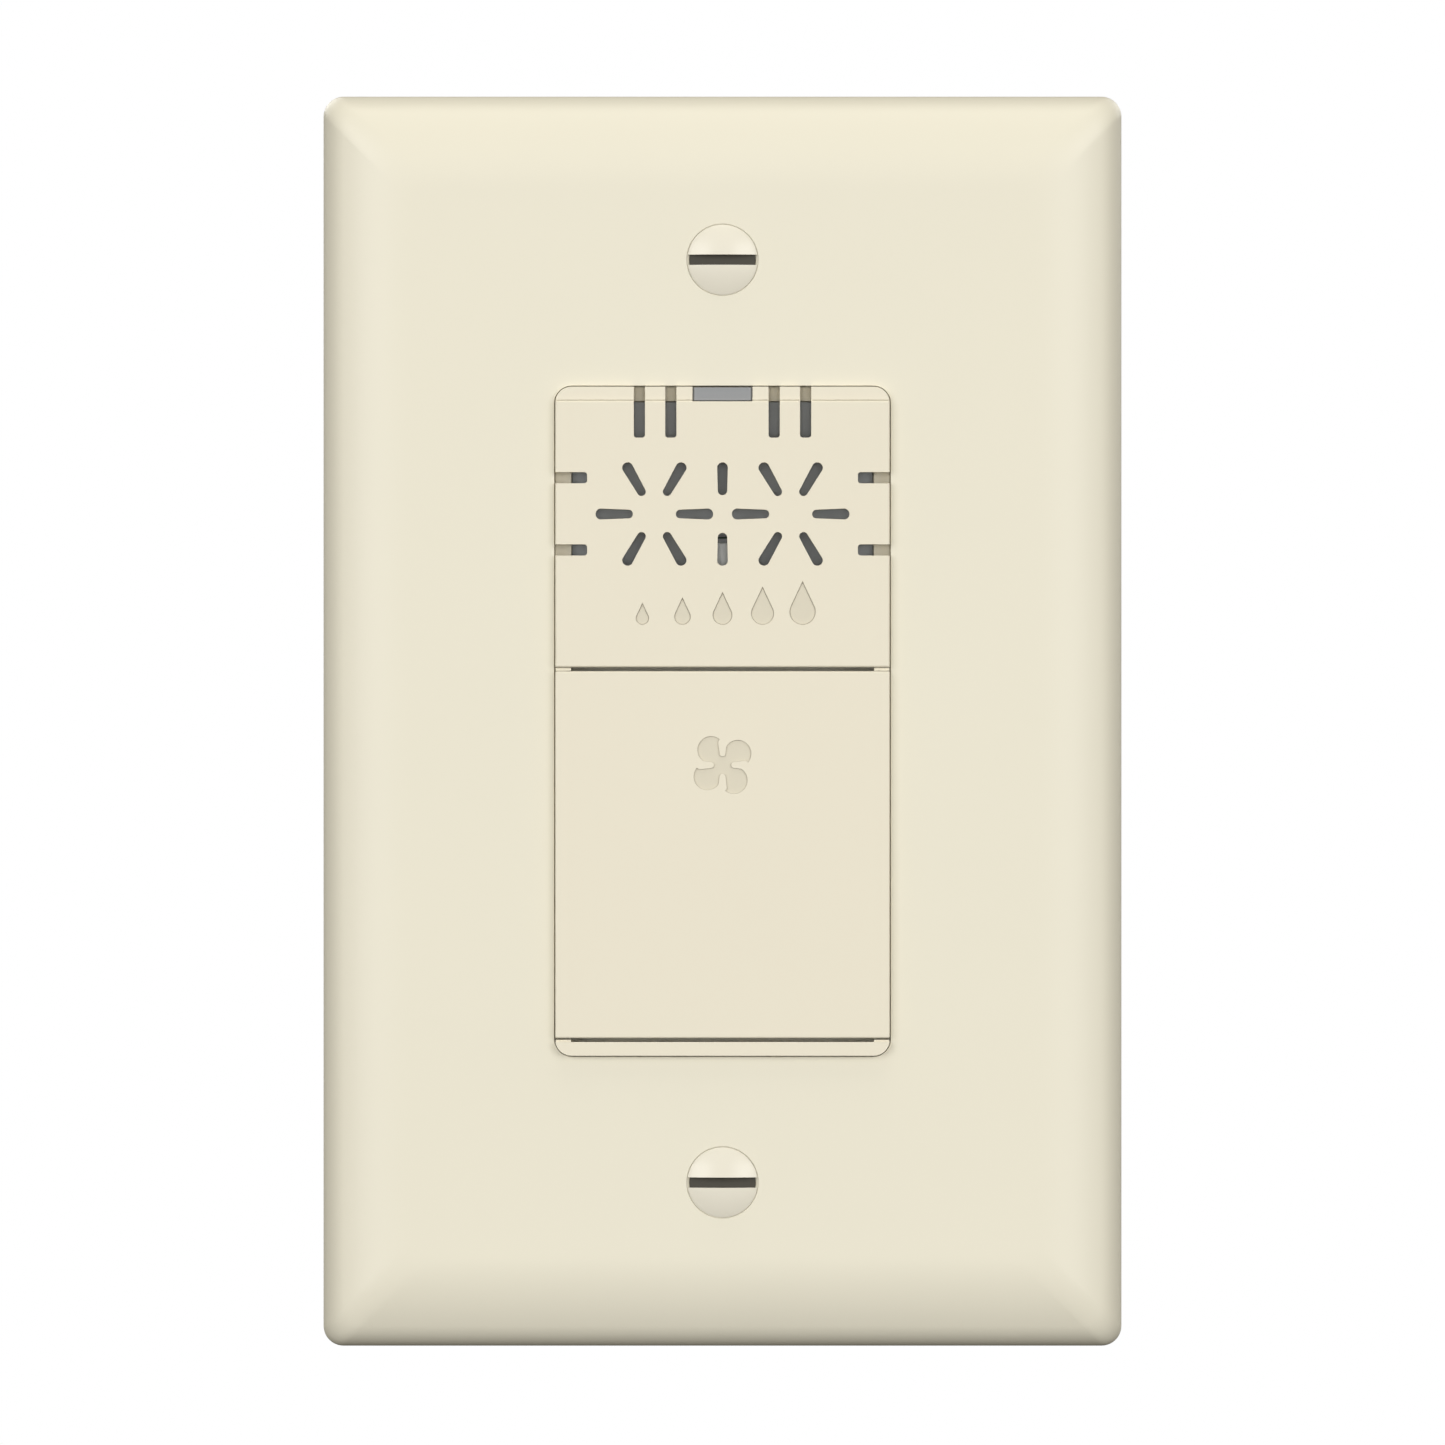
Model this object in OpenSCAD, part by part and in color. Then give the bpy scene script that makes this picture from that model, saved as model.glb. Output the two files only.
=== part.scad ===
// In-wall humidity-sensing fan switch with its wall plate.
// Millimetres. X runs across the plate, Z up the wall and Y into the wall.
// The origin is on the wall's surface, midway between the two box screws, so the room side is -Y.

/* [Wall plate] */
// Width of the wall plate
plate_w = 84; // [82:0.5:90]
// Height of the wall plate
plate_h = 131.5; // [128:0.5:140]
// Depth of the wall plate, from the wall to its flat front
plate_d = 6.8; // [6.6:0.1:7.4]
// Wall thickness of the wall plate
plate_t = 2.3; // [2:0.1:2.3]
// Width of the curved margin round the flat front
margin_w = 9.5; // [9:0.1:10]
// Width of the steep outer part of the curved margin
lip_w = 2.2; // [2:0.1:2.4]
// Distance between the wall plate's two screws
plate_screw_pitch = 96.84; // [96.6:0.02:97]

/* [Switch face] */
// Width of the switch face
face_w = 35.1; // [34.9:0.1:35.3]
// Height of the switch face
face_h = 70.2; // [70:0.1:70.4]
// How far the face stands in front of the wall plate
face_stand = 1; // [0.8:0.1:1.4]
// Gap between the wall plate and the switch face
plate_gap = 0.25; // [0.2:0.05:0.4]
// Gap above and below the push button
button_gap = 0.4; // [0.3:0.05:0.5]
// Height of the push button
button_h = 38.5; // [38:0.1:38.7]
// Angle the push button turns through when it is pressed
press_angle = 1.5; // [1:0.1:1.5]

/* [Air vents] */
// Width of the straight vent slots
slot_w = 1.18; // [1:0.02:1.3]
// Height of the centre of the two slot stars
star_z = 21.73; // [21.5:0.01:22]
// Distance between the centres of the two slot stars
star_pitch = 14.3; // [14:0.1:14.6]

/* [Body] */
// Width of the housing behind the wall
body_w = 43; // [42.6:0.1:44]
// Height of the housing behind the wall
body_h = 70; // [70:0.5:72]
// Depth of the housing behind the wall
body_d = 32; // [32:0.5:38]
// Thickness of the steel mounting yoke
yoke_t = 1.3; // [1.2:0.1:1.3]
// Distance between the two screws that hold the switch to the wall box
box_screw_pitch = 83.34; // [83.2:0.02:83.5]

/* [Hidden] */
$fn = 64;

// Colours
ivory = [0.92, 0.89, 0.81];
dark_grey = [0.30, 0.31, 0.32];
charcoal = [0.16, 0.16, 0.17];
steel = [0.74, 0.75, 0.76];
brass = [0.80, 0.62, 0.28];
board_green = [0.10, 0.38, 0.22];

// A cut reaches this far past the solid that it opens
over = 0.1;
// Clearance between fixed parts that slip together
slip = 0.05;

// Levels along Y, from the front to the back
plate_front = -plate_d;
face_y = plate_front - face_stand;
shell_t = 1.6;
mark_depth = 0.18;
face_back = face_y + shell_t;
yoke_front = -yoke_t;
deck_t = 1.5;
deck_front = yoke_front - deck_t;
rail_h = 1.8;
rail_front = deck_front - rail_h;
board_t = 1.6;
control_front = 1;
control_back = control_front + board_t;
power_front = 24.5;
power_back = power_front + board_t;
body_wall = 2;
body_floor = body_d - body_wall;

// Switch face, up the Z axis
face_top = face_h / 2;
rail_w = 1.65;
face_corner_r = 1.7;
strip_h = 1.45;
button_bottom = -face_top + strip_h + button_gap;
button_top = button_bottom + button_h;
cover_bottom = button_top + button_gap;
rail_x = face_w / 2 - rail_w;
rail_z = face_top - strip_h;
opening_w = face_w + 2 * plate_gap;
opening_h = face_h + 2 * plate_gap;
opening_r = face_corner_r + plate_gap;

// Wall plate
plate_corner_r = 2.1;
margin_angle = 30; // slope where the gentle part of the margin meets the steep part
crease = 2; // the margin steepens by this much where the two parts meet
lip_angle = 80; // slope at the outer edge
margin_r = (margin_w - lip_w) / sin(margin_angle);
lip_r = lip_w / (sin(lip_angle) - sin(margin_angle + crease));
lip_x = margin_w - lip_w - lip_r * sin(margin_angle + crease);
lip_z = plate_d - margin_r * (1 - cos(margin_angle)) - lip_r * cos(margin_angle + crease);
plate_edge = lip_z + lip_r * cos(lip_angle); // height of the straight side
plate_screw_z = plate_screw_pitch / 2;
plate_hole_r = 2.05;
plate_boss_r = 3.1;
oval_head_r = 3.7;
head_slope = 0.87; // tangent of half the 82 degree countersink
screw_slot_w = 1.05;
screw_slot_d = 1.35;
crown_h = 0.9;
no6_r = 1.75; // outer radius of a No. 6 machine screw's thread

// Yoke and box screws
box_screw_z = box_screw_pitch / 2;
box_slot_r = 2.05;
box_slot_len = 7;
box_head_r = 3.4;
box_head_h = 2.1;
box_screw_len = 25.4;
box_neck_r = 1.6;
retainer_t = 0.4;
yoke_len = 106.4;
yoke_mid_len = 76;
yoke_end_w = 30;
ear_w = 44;
ear_z = 47.6;
score_r = 0.6;
yoke_window_w = 32;
yoke_window_h = 58;
ground_y = 4.6;
ground_z = -41.7;
ground_tab_h = 8.6;
ground_tab_d = 9.2;

// Housing screws at the four corners
corner_x = 18.2;
corner_z = 31.5;
corner_hole_r = 1.6;
corner_boss_r = 2.3;
housing_screw_r = 1.4;
pilot_r = 1.45;
housing_head_r = 2.8;
housing_head_y = body_d - 2.5;

// Push button pivot, its switch and its springs
pivot_y = -4.3;
pivot_z = 2.5;
press_travel = (pivot_z - button_bottom) * sin(press_angle);
skirt_h = rail_front - press_travel - 0.3 - face_back;
trunnion_r = 0.8;
lug_x = 13.1;
lug_t = 1.6;
ear_t = 1.4;
ear_r = 1.4;
lug_r = 1.7;
switch_z = -17;
switch_side = 6;
plunger_r = 1.75;
plunger_tip = -3.37;
plunger_foot = -1.6;
boss_r = 1.5;
spring_x = 9;
spring_z = -27;
spring_wire_r = 0.2;
spring_r = 1.65;
spring_turns = 4;

// Fan mark on the button
fan_z = -4.6;
fan_turn = 37;
fan_blade_x = 2.05;
fan_blade_r = 1.3;
fan_notch_x = 1.22;
fan_notch_r = 0.37;

// Setting dials
dial_x = 7.5;
dial_z = -5.5;
dial_r = 3.2;
dial_front = -4.2;
dial_back = -2.2;
dial_shaft_r = 1.5;
dial_side = 7;

// Boards
control_w = 29;
control_h = 62;
post_x = 12.9;
post_z = 26.5;
post_r = 1.9;
power_w = 28;
power_h = 62;
power_post_x = 11.3;
power_post_z = 28.3;
small_screw_r = 0.85;
small_head_h = 1.1;
link_x = 11.5;
link_z = -18.6;
sheet_front = control_back + small_head_h;
sheet_t = 0.3;

// Sensor and vents
baffle_t = 0.7;
sensor_board_w = 6.6;
sensor_board_z = [12.2, 19.2];
slot_side_z = [25.54, 17.96];
slot_side_x = 14.2;
slot_top_x = [-8.72, -5.42, 5.42, 8.72];
slot_top_z = 29.74;
vent_window_w = 22;
vent_window_z = [8, 30.8];
leg_z = [10.5, 21.73];
leg_x = [14.9, 15.7];
leg_half = 1.5;

// Light pipe
lens_w = 6.2;
lens_leg_z = [27.3, 28.5];

// Relay
relay_w = 15.4;
relay_z = [6, 25.2];
relay_front = 9;
relay_base_t = 1.6;
relay_wall = 0.8;
coil_z = 15.4;
armature_y = [10.2, 11.2];
armature_z = [7.1, 19.6];
pole_gap = 0.98;
blade_contact_z = 22.6;

// Terminals
terminal_z = 10.5;
pocket_x = 16.5;
pocket_z = 5.2;
pocket_y = 6;
pocket_wall = 1.6;
strip_t = 0.8;
terminal_screw_y = 13.5;
no8_r = 2.08; // outer radius of a No. 8 machine screw's thread
terminal_head_r = 4.1;
terminal_head_t = 1.8;
clamp_t = 1;

// ---- Shared shapes ----

// A solid between two levels along Y, from an outline drawn in X and Z
module slab(y0, y1) translate([0, y1, 0]) rotate([90, 0, 0]) linear_extrude(y1 - y0) children();

// A rectangular block from its lowest corner to its highest
module block(a, b) translate(a) cube(b - a);

// A rod along Y
module rod(r, y0, y1) translate([0, y1, 0]) rotate([90, 0, 0]) cylinder(r = r, h = y1 - y0);

// A rod along X
module cross_rod(r, x0, x1) translate([x0, 0, 0]) rotate([0, 90, 0]) cylinder(r = r, h = x1 - x0);

// A cone along Y, with its radius at each end
module taper(r0, r1, y0, y1) translate([0, y1, 0]) rotate([90, 0, 0]) cylinder(r1 = r1, r2 = r0, h = y1 - y0);

// A low dome on a head of radius r, with its top at y0 and its rim at y0 + h
module dome(r, h, y0) {
  ball_r = (r * r + h * h) / (2 * h);
  intersection() {
    translate([0, y0 + ball_r, 0]) sphere(r = ball_r, $fn = 128);
    rod(r, y0 - over, y0 + h);
  }
}

module at(x, z) translate([x, 0, z]) children();

// Copies on both sides of the centre plane, and at all four corners
module both_sides(x, z) for (s = [-1, 1]) at(s * x, z) children();
module four_corners(x, z) for (t = [-1, 1]) both_sides(x, t * z) children();

// A rectangle with round corners
module rounded(w, h, r) {
  square([w - 2 * r, h], center = true);
  square([w, h - 2 * r], center = true);
  for (x = [-1, 1], z = [-1, 1]) translate([x * (w / 2 - r), z * (h / 2 - r)]) circle(r = r);
}

// The part of the face outline between two heights
module face_band(z0, z1) intersection() {
  rounded(face_w, face_h, face_corner_r);
  translate([-face_w / 2, z0]) square([face_w, z1 - z0]);
}

// ---- Wall plate ----

// Cross-section: flat in the middle, and down each side an arc of radius margin_r, then one of radius lip_r.
// A skin of thickness t is taken off all round.
module margin_profile(w, t) mirror([0, 1]) {
  flat_half = w / 2 - margin_w;
  square_half = w / 2 - t;
  crease_x = lip_x + (lip_r - t) * sin(margin_angle - crease / 2);
  translate([-flat_half, 0]) square([2 * flat_half, plate_d - t]);
  translate([-square_half, 0]) square([2 * square_half, plate_edge / 4]);
  for (side = [0, 1]) mirror([side, 0]) intersection() {
    translate([flat_half, plate_d - margin_r]) circle(r = margin_r - t, $fn = 256);
    union() {
      translate([flat_half, 0]) square([crease_x, plate_d]);
      translate([flat_half + lip_x, lip_z]) circle(r = lip_r - t, $fn = 128);
    }
    translate([flat_half, 0]) square([square_half - flat_half, plate_d]);
  }
}

// A pillow: the same cross-section both ways, inside a rounded outline
module pillow(t, corner) intersection() {
  linear_extrude(plate_h, center = true) margin_profile(plate_w, t);
  rotate([0, 90, 0]) linear_extrude(plate_w, center = true) margin_profile(plate_h, t);
  slab(-plate_d, 0) rounded(plate_w - 2 * t, plate_h - 2 * t, corner);
}

module wall_plate() color(ivory) difference() {
  union() {
    difference() {
      pillow(0, plate_corner_r);
      pillow(plate_t, 1);
      slab(-over, over) rounded(plate_w - 2 * plate_t, plate_h - 2 * plate_t, 1);
    }
    for (s = [-1, 1]) at(0, s * plate_screw_z) rod(plate_boss_r, plate_front + plate_t - over, yoke_front);
  }
  slab(plate_front - over, 0) rounded(opening_w, opening_h, opening_r);
  for (s = [-1, 1]) at(0, s * plate_screw_z) {
    rod(plate_hole_r, plate_front - over, 0);
    taper(oval_head_r + over * head_slope, plate_hole_r, plate_front - over,
          plate_front + (oval_head_r - plate_hole_r) / head_slope);
  }
}

module wall_plate_screws() color(ivory) for (s = [-1, 1]) at(0, s * plate_screw_z) {
  head_foot = plate_front + (oval_head_r - no6_r) / head_slope;
  difference() {
    union() {
      dome(oval_head_r, crown_h, plate_front - crown_h);
      taper(oval_head_r, no6_r, plate_front, head_foot);
    }
    block([-oval_head_r - over, plate_front - crown_h - over, -screw_slot_w / 2],
          [oval_head_r + over, plate_front - crown_h + screw_slot_d, screw_slot_w / 2]);
  }
  rod(no6_r, head_foot, 4.4);
  taper(no6_r, 1.2, 4.4, 5);
}

// ---- Yoke and what fastens it ----

module yoke_outline() difference() {
  union() {
    rounded(body_w, yoke_mid_len, 2);
    rounded(yoke_end_w, yoke_len, 3);
    for (s = [-1, 1]) translate([0, s * ear_z]) rounded(ear_w, 7, 1.5);
  }
  rounded(yoke_window_w, yoke_window_h, 2);
  for (x = [-1, 1], z = [-1, 1]) translate([x * corner_x, z * corner_z]) circle(r = corner_hole_r);
  for (s = [-1, 1]) {
    translate([0, s * plate_screw_z]) circle(r = no6_r + slip);
    translate([0, s * box_screw_z]) {
      square([box_slot_len - 2 * box_slot_r, 2 * box_slot_r], center = true);
      for (e = [-1, 1]) translate([e * (box_slot_len / 2 - box_slot_r), 0]) circle(r = box_slot_r);
    }
    // Score lines where the plaster ears snap off
    for (e = [-1, 1], k = [-1, 0, 1])
      translate([e * (yoke_end_w / 2 + score_r), s * ear_z + k * 2.1]) circle(r = score_r);
  }
}

module mounting_yoke() color(steel) difference() {
  union() {
    slab(yoke_front, 0) yoke_outline();
    block([-yoke_end_w / 2 - yoke_t, yoke_front, ground_z - ground_tab_h / 2],
          [-yoke_end_w / 2 + over, 0, ground_z + ground_tab_h / 2]);
    block([-yoke_end_w / 2 - yoke_t, yoke_front, ground_z - ground_tab_h / 2],
          [-yoke_end_w / 2, ground_tab_d, ground_z + ground_tab_h / 2]);
  }
  translate([0, ground_y, ground_z]) cross_rod(no6_r + slip, -yoke_end_w / 2 - 2, -yoke_end_w / 2 + 1);
}

module box_mounting_screws() color(steel) for (s = [-1, 1]) at(0, s * box_screw_z) {
  thread_y = retainer_t + slip;
  tip_y = yoke_front + box_screw_len;
  difference() {
    dome(box_head_r, box_head_h, yoke_front - box_head_h);
    block([-box_head_r, yoke_front - box_head_h - over, -0.55], [box_head_r, yoke_front - 0.9, 0.55]);
    block([-0.55, yoke_front - box_head_h - over, -1.9], [0.55, yoke_front - 0.7, 1.9]);
  }
  rod(box_neck_r, yoke_front, thread_y);
  rod(no6_r, thread_y, tip_y - 0.6);
  taper(no6_r, 1.2, tip_y - 0.6, tip_y);
}

module screw_retainers() color([0.55, 0.42, 0.30]) for (s = [-1, 1]) at(0, s * box_screw_z)
  slab(0, retainer_t) difference() {
    rounded(9, 9, 1);
    circle(r = box_neck_r + slip);
  }

module ground_screw() color([0.20, 0.50, 0.28]) translate([0, ground_y, ground_z]) {
  seat_x = -yoke_end_w / 2 - yoke_t;
  difference() {
    cross_rod(3.9, seat_x - 1.8, seat_x);
    block([seat_x - 1.9, -4, -0.6], [seat_x - 0.9, 4, 0.6]);
  }
  cross_rod(no6_r, seat_x, seat_x + 6.5);
}

// ---- Front frame, cover and button ----

// A lug with a bore along X that holds one of the button's trunnions
module pivot_lug(x0) difference() {
  union() {
    block([x0, pivot_y, pivot_z - lug_r], [x0 + lug_t, deck_front, pivot_z + lug_r]);
    translate([0, pivot_y, pivot_z]) cross_rod(lug_r, x0, x0 + lug_t);
  }
  translate([0, pivot_y, pivot_z]) cross_rod(trunnion_r + slip, x0 - over, x0 + lug_t + over);
}

module front_frame() color(ivory) difference() {
  union() {
    slab(deck_front, yoke_front) rounded(41.6, 74.6, 2);
    slab(rail_front, deck_front) difference() {
      face_band(-face_top, face_top);
      translate([-rail_x, -rail_z]) square([2 * rail_x, 2 * rail_z]);
    }
    slab(face_y + slip, rail_front) face_band(-face_top, -rail_z);
    four_corners(corner_x, corner_z) rod(corner_boss_r, plate_front + plate_t + 0.2, deck_front);
    four_corners(post_x, post_z) rod(post_r, yoke_front, control_front);
    for (x = [lug_x, -lug_x - lug_t]) pivot_lug(x);
    both_sides(spring_x, spring_z) rod(1.2, deck_front - 1.1, deck_front);
  }
  // Window behind the vents
  block([-vent_window_w / 2, deck_front - over, vent_window_z[0]],
        [vent_window_w / 2, yoke_front + over, vent_window_z[1]]);
  // Slots for the vent cover's snap legs
  for (z = leg_z, turn = [0, 1]) mirror([turn, 0, 0])
    block([leg_x[0] - 0.2, deck_front - over, z - 1.7], [leg_x[1] + 0.2, yoke_front + over, z + 1.7]);
  // Openings for the button's switch and the two dials
  at(0, switch_z) block([-3.4, deck_front - over, -3.4], [3.4, yoke_front + over, 3.4]);
  both_sides(dial_x, dial_z) rod(dial_r + 0.3, deck_front - over, yoke_front + over);
  four_corners(corner_x, corner_z) rod(pilot_r, -3.9, yoke_front + over);
  four_corners(post_x, post_z) rod(small_screw_r, yoke_front, control_front + over);
}

// Outline of a vent ray: a slot with round ends, wider at its outer end
function ray_outline(a, r_in, r_out, e_in, e_out) = concat(
  [for (t = [-90:22.5:90]) r_out * [cos(a), sin(a)] + e_out * [cos(a + t), sin(a + t)]],
  [for (t = [90:22.5:270]) r_in * [cos(a), sin(a)] + e_in * [cos(a + t), sin(a + t)]]);

module slot_star() for (a = [0:60:300]) polygon(ray_outline(a, 2.71, 5.58, 0.46, 0.59));

module vent_slots() {
  for (s = [-1, 1]) translate([s * star_pitch / 2, star_z]) slot_star();
  for (a = [90, 270]) translate([0, star_z]) polygon(ray_outline(a, 2.47, 4.85, 0.5, 0.57));
  for (x = slot_top_x) translate([x, slot_top_z + 4]) rounded(slot_w, 8, 0.3);
  for (s = [-1, 1], z = slot_side_z) translate([s * (slot_side_x + 4), z]) rounded(8, slot_w, 0.3);
}

// Outline of a water drop: a circle of radius r with a point above it
function drop_outline(r, tip) = let (b = acos(r / tip)) concat([[0, tip]],
  [for (k = [0:24]) let (t = 90 + b + k * (360 - 2 * b) / 24) r * [cos(t), sin(t)]]);

// Five drops that grow from left to right, each an engraved line
module humidity_mark() for (k = [0:4]) translate([(k - 2) * 4.2, 10]) {
  r = 0.78 + k * 0.17;
  translate([0, r]) difference() {
    polygon(drop_outline(r, 2.35 * r));
    polygon(drop_outline(r - 0.24, 2.35 * (r - 0.24)));
  }
}

module vent_cover() color(ivory) difference() {
  union() {
    slab(face_y, face_back) face_band(cover_bottom, face_top);
    slab(face_back, rail_front) difference() {
      face_band(cover_bottom, face_top);
      translate([-rail_x, cover_bottom + rail_w]) square([2 * rail_x, rail_z - cover_bottom - rail_w]);
    }
    // Snap legs, each with a small hook that catches behind the frame's deck
    for (z = leg_z, turn = [0, 1]) mirror([turn, 0, 0]) at(0, z) {
      block([leg_x[0], face_back, -leg_half], [leg_x[1], -0.5, leg_half]);
      block([leg_x[0] - 0.65, -1.2, -leg_half], [leg_x[0], -0.5, leg_half]);
    }
  }
  // The low step along the top edge
  block([-face_w, face_y - over, rail_z], [face_w, face_y + 0.35, face_top + over]);
  // Notch for the indicator lens
  block([-lens_w / 2 - slip, face_y - over, rail_z - over], [lens_w / 2 + slip, rail_front, face_top + over]);
  slab(face_y - over, rail_front) vent_slots();
  slab(face_y - over, face_y + mark_depth) humidity_mark();
}

module indicator_lens() color([0.55, 0.57, 0.60]) {
  block([-lens_w / 2, face_y + 0.38, rail_z], [lens_w / 2, rail_front, face_top - 0.08]);
  block([-2.4, face_back + slip, lens_leg_z[0]], [2.4, rail_front - 0.4, rail_z]);
  block([-2.4, rail_front - 0.4, lens_leg_z[0]], [2.4, -0.1, lens_leg_z[1]]);
}

// A plain four-blade fan: round blades on a square hub, with round-ended notches between them
module fan_mark() difference() {
  union() {
    rotate(fan_turn + 45) square(sqrt(2) * fan_blade_x, center = true);
    for (a = [0:90:270]) rotate(fan_turn + a) translate([fan_blade_x, 0]) circle(r = fan_blade_r);
  }
  for (a = [0:90:270]) rotate(a) {
    translate([fan_notch_x, 0]) circle(r = fan_notch_r);
    polygon([[fan_notch_x, -fan_notch_r], [fan_blade_x, -1.5 * fan_notch_r],
             [fan_blade_x, fan_notch_r], [fan_notch_x, fan_notch_r]]);
  }
}

module push_button() color(ivory) {
  difference() {
    union() {
      slab(face_y, face_back) face_band(button_bottom, button_top);
      slab(face_back, face_back + skirt_h) difference() {
        face_band(button_bottom, button_top);
        translate([-rail_x, button_bottom + 1.5]) square([2 * rail_x, button_h - 3]);
      }
    }
    slab(face_y - over, face_y + mark_depth) translate([0, fan_z]) fan_mark();
  }
  for (side = [0, 1]) mirror([side, 0, 0]) {
    ear_x = lug_x - slip;
    block([ear_x - ear_t, face_back, pivot_z - ear_r], [ear_x, pivot_y, pivot_z + ear_r]);
    translate([0, pivot_y, pivot_z]) {
      cross_rod(ear_r, ear_x - ear_t, ear_x);
      cross_rod(trunnion_r, ear_x, lug_x + lug_t);
    }
  }
  at(0, switch_z) {
    rod(boss_r, face_back, plunger_tip - 0.03 - boss_r);
    translate([0, plunger_tip - 0.03 - boss_r, 0]) sphere(r = boss_r);
  }
  both_sides(spring_x, spring_z) difference() {
    rod(3, face_back, face_back + 0.9);
    rod(2.2, face_back, face_back + 1);
  }
}

// A coil along Y: rings of points swept round a helix, as one closed solid
module coil(r, wire_r, y0, y1, turns) {
  sides = 6;
  per_turn = 16;
  n = turns * per_turn;
  points = [for (i = [0:n], j = [0:sides - 1])
    let (a = 360 * i / per_turn, b = 360 * j / sides, q = r + wire_r * cos(b))
    [q * cos(a), y0 + (y1 - y0) * i / n + wire_r * sin(b), q * sin(a)]];
  walls = [for (i = [0:n - 1], j = [0:sides - 1])
    let (k = (j + 1) % sides)
    [i * sides + j, i * sides + k, (i + 1) * sides + k, (i + 1) * sides + j]];
  ends = [[for (j = [sides - 1:-1:0]) j], [for (j = [0:sides - 1]) n * sides + j]];
  polyhedron(points, concat(walls, ends));
}

module button_return_springs() color(steel) both_sides(spring_x, spring_z) {
  end_gap = spring_wire_r + 0.02;
  coil(spring_r, spring_wire_r, deck_front - end_gap, face_back + end_gap, spring_turns);
}

// ---- Sensor, behind the vents ----

module sensor_baffle() color(dark_grey) {
  side = rail_x - 0.1;
  fit_gap = 0.15;
  low = [-sensor_board_w / 2 - fit_gap, deck_front - 1, sensor_board_z[0] - fit_gap];
  high = [sensor_board_w / 2 + fit_gap, deck_front + over, sensor_board_z[1] + fit_gap];
  difference() {
    block([-side, deck_front - baffle_t, cover_bottom + rail_w + 0.1], [side, deck_front, rail_z - 0.1]);
    block(low, high);
    block([-2.6, deck_front - 1, lens_leg_z[0] - 0.2], [2.6, deck_front + over, lens_leg_z[1] + 0.2]);
    for (z = leg_z, turn = [0, 1]) mirror([turn, 0, 0])
      block([leg_x[0] - 0.2, deck_front - 1, z - 1.7], [side + 1, deck_front + over, z + 1.7]);
  }
}

module sensor_board() color(board_green) {
  half_w = sensor_board_w / 2;
  block([-half_w, deck_front - 0.8, sensor_board_z[0]], [half_w, deck_front, sensor_board_z[1]]);
}

module humidity_sensor() color([0.75, 0.77, 0.77]) difference() {
  block([-2, deck_front - 1.9, 14.2], [2, deck_front - 0.8, 18.7]);
  at(0, 15.4) rod(0.5, deck_front - 2, deck_front - 1.3);
}

module sensor_header() color(brass) for (k = [0:3]) at((k - 1.5) * 1.27, 13.2)
  block([-0.2, deck_front, -0.2], [0.2, control_front, 0.2]);

// ---- Control board ----

module control_board() color(board_green) difference() {
  slab(control_front, control_back) rounded(control_w, control_h, 1);
  four_corners(post_x, post_z) rod(small_screw_r + slip, control_front - over, control_back + over);
}

// A self-tapping screw of length len that points to -Y, with the underside of its head at Y = 0
module small_screw(len) {
  difference() {
    rod(1.6, 0, small_head_h);
    for (a = [0, 90]) rotate([0, a, 0]) block([-1, small_head_h - 0.6, -0.2], [1, small_head_h + over, 0.2]);
  }
  rod(small_screw_r - slip, -len, 0);
}

module control_board_screws() color(steel) four_corners(post_x, post_z)
  translate([0, control_back, 0]) small_screw(3.4);

module button_switch_body() color(charcoal) at(0, switch_z) difference() {
  block([-switch_side / 2, -2.5, -switch_side / 2], [switch_side / 2, control_front, switch_side / 2]);
  rod(plunger_r + slip, -2.6, -1);
}

module button_switch_plunger() color([0.12, 0.12, 0.12]) at(0, switch_z)
  rod(plunger_r, plunger_tip, plunger_foot);

module dial_base() color([0.15, 0.28, 0.55]) difference() {
  block([-dial_side / 2, -0.8, -dial_side / 2], [dial_side / 2, control_front, dial_side / 2]);
  rod(dial_shaft_r + slip, -0.9, 0.6);
}

module dial() color([0.92, 0.92, 0.90]) {
  difference() {
    rod(dial_r, dial_front, dial_back);
    block([-2.5, dial_front - over, -0.45], [2.5, dial_front + 0.9, 0.45]);
    slab(dial_front - over, dial_front + 0.9) polygon([[2.9, 0], [1.5, 1.1], [1.5, -1.1]]);
  }
  rod(dial_shaft_r, dial_back, 0.5);
}

module humidity_dial_base() at(-dial_x, dial_z) dial_base();
module timer_dial_base() at(dial_x, dial_z) dial_base();
module humidity_dial() at(-dial_x, dial_z) rotate([0, -90, 0]) dial();
module timer_dial() at(dial_x, dial_z) rotate([0, -90, 0]) dial();

module indicator_led() color([0.85, 0.90, 0.80])
  block([-0.8, 0.2, 27.1], [0.8, control_front, 28.7]);

module microcontroller() color(charcoal) {
  block([-3, control_back, -9], [3, control_back + 0.5, -1]);
}

module board_link_header() {
  for (y = [[control_back, control_back + 0.6], [power_front - 2.5, power_front]]) color(charcoal)
    at(link_x, link_z) block([-1.3, y[0], -5.4], [1.3, y[1], 5.4]);
  for (k = [0:3]) color(brass) at(link_x, link_z + (k - 1.5) * 2.54)
    block([-0.32, control_back + 0.6, -0.32], [0.32, power_front - 2.5, 0.32]);
}

module insulating_sheet() color([0.75, 0.62, 0.45]) difference() {
  slab(sheet_front, sheet_front + sheet_t) rounded(control_w - 0.4, control_h, 1);
  at(link_x, link_z) block([-1.6, sheet_front - over, -5.7], [1.6, sheet_front + sheet_t + over, 5.7]);
}

// ---- Power board ----

module power_board() color(board_green) difference() {
  slab(power_front, power_back) rounded(power_w, power_h, 1);
  four_corners(power_post_x, power_post_z) rod(small_screw_r + slip, power_front - over, power_back + over);
}

module power_board_screws() color(steel) four_corners(power_post_x, power_post_z)
  translate([0, power_front, 0]) mirror([0, 1, 0]) small_screw(4.6);

module relay_base() color([0.20, 0.35, 0.62])
  block([-relay_w / 2, power_front - relay_base_t, relay_z[0]], [relay_w / 2, power_front, relay_z[1]]);

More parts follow.
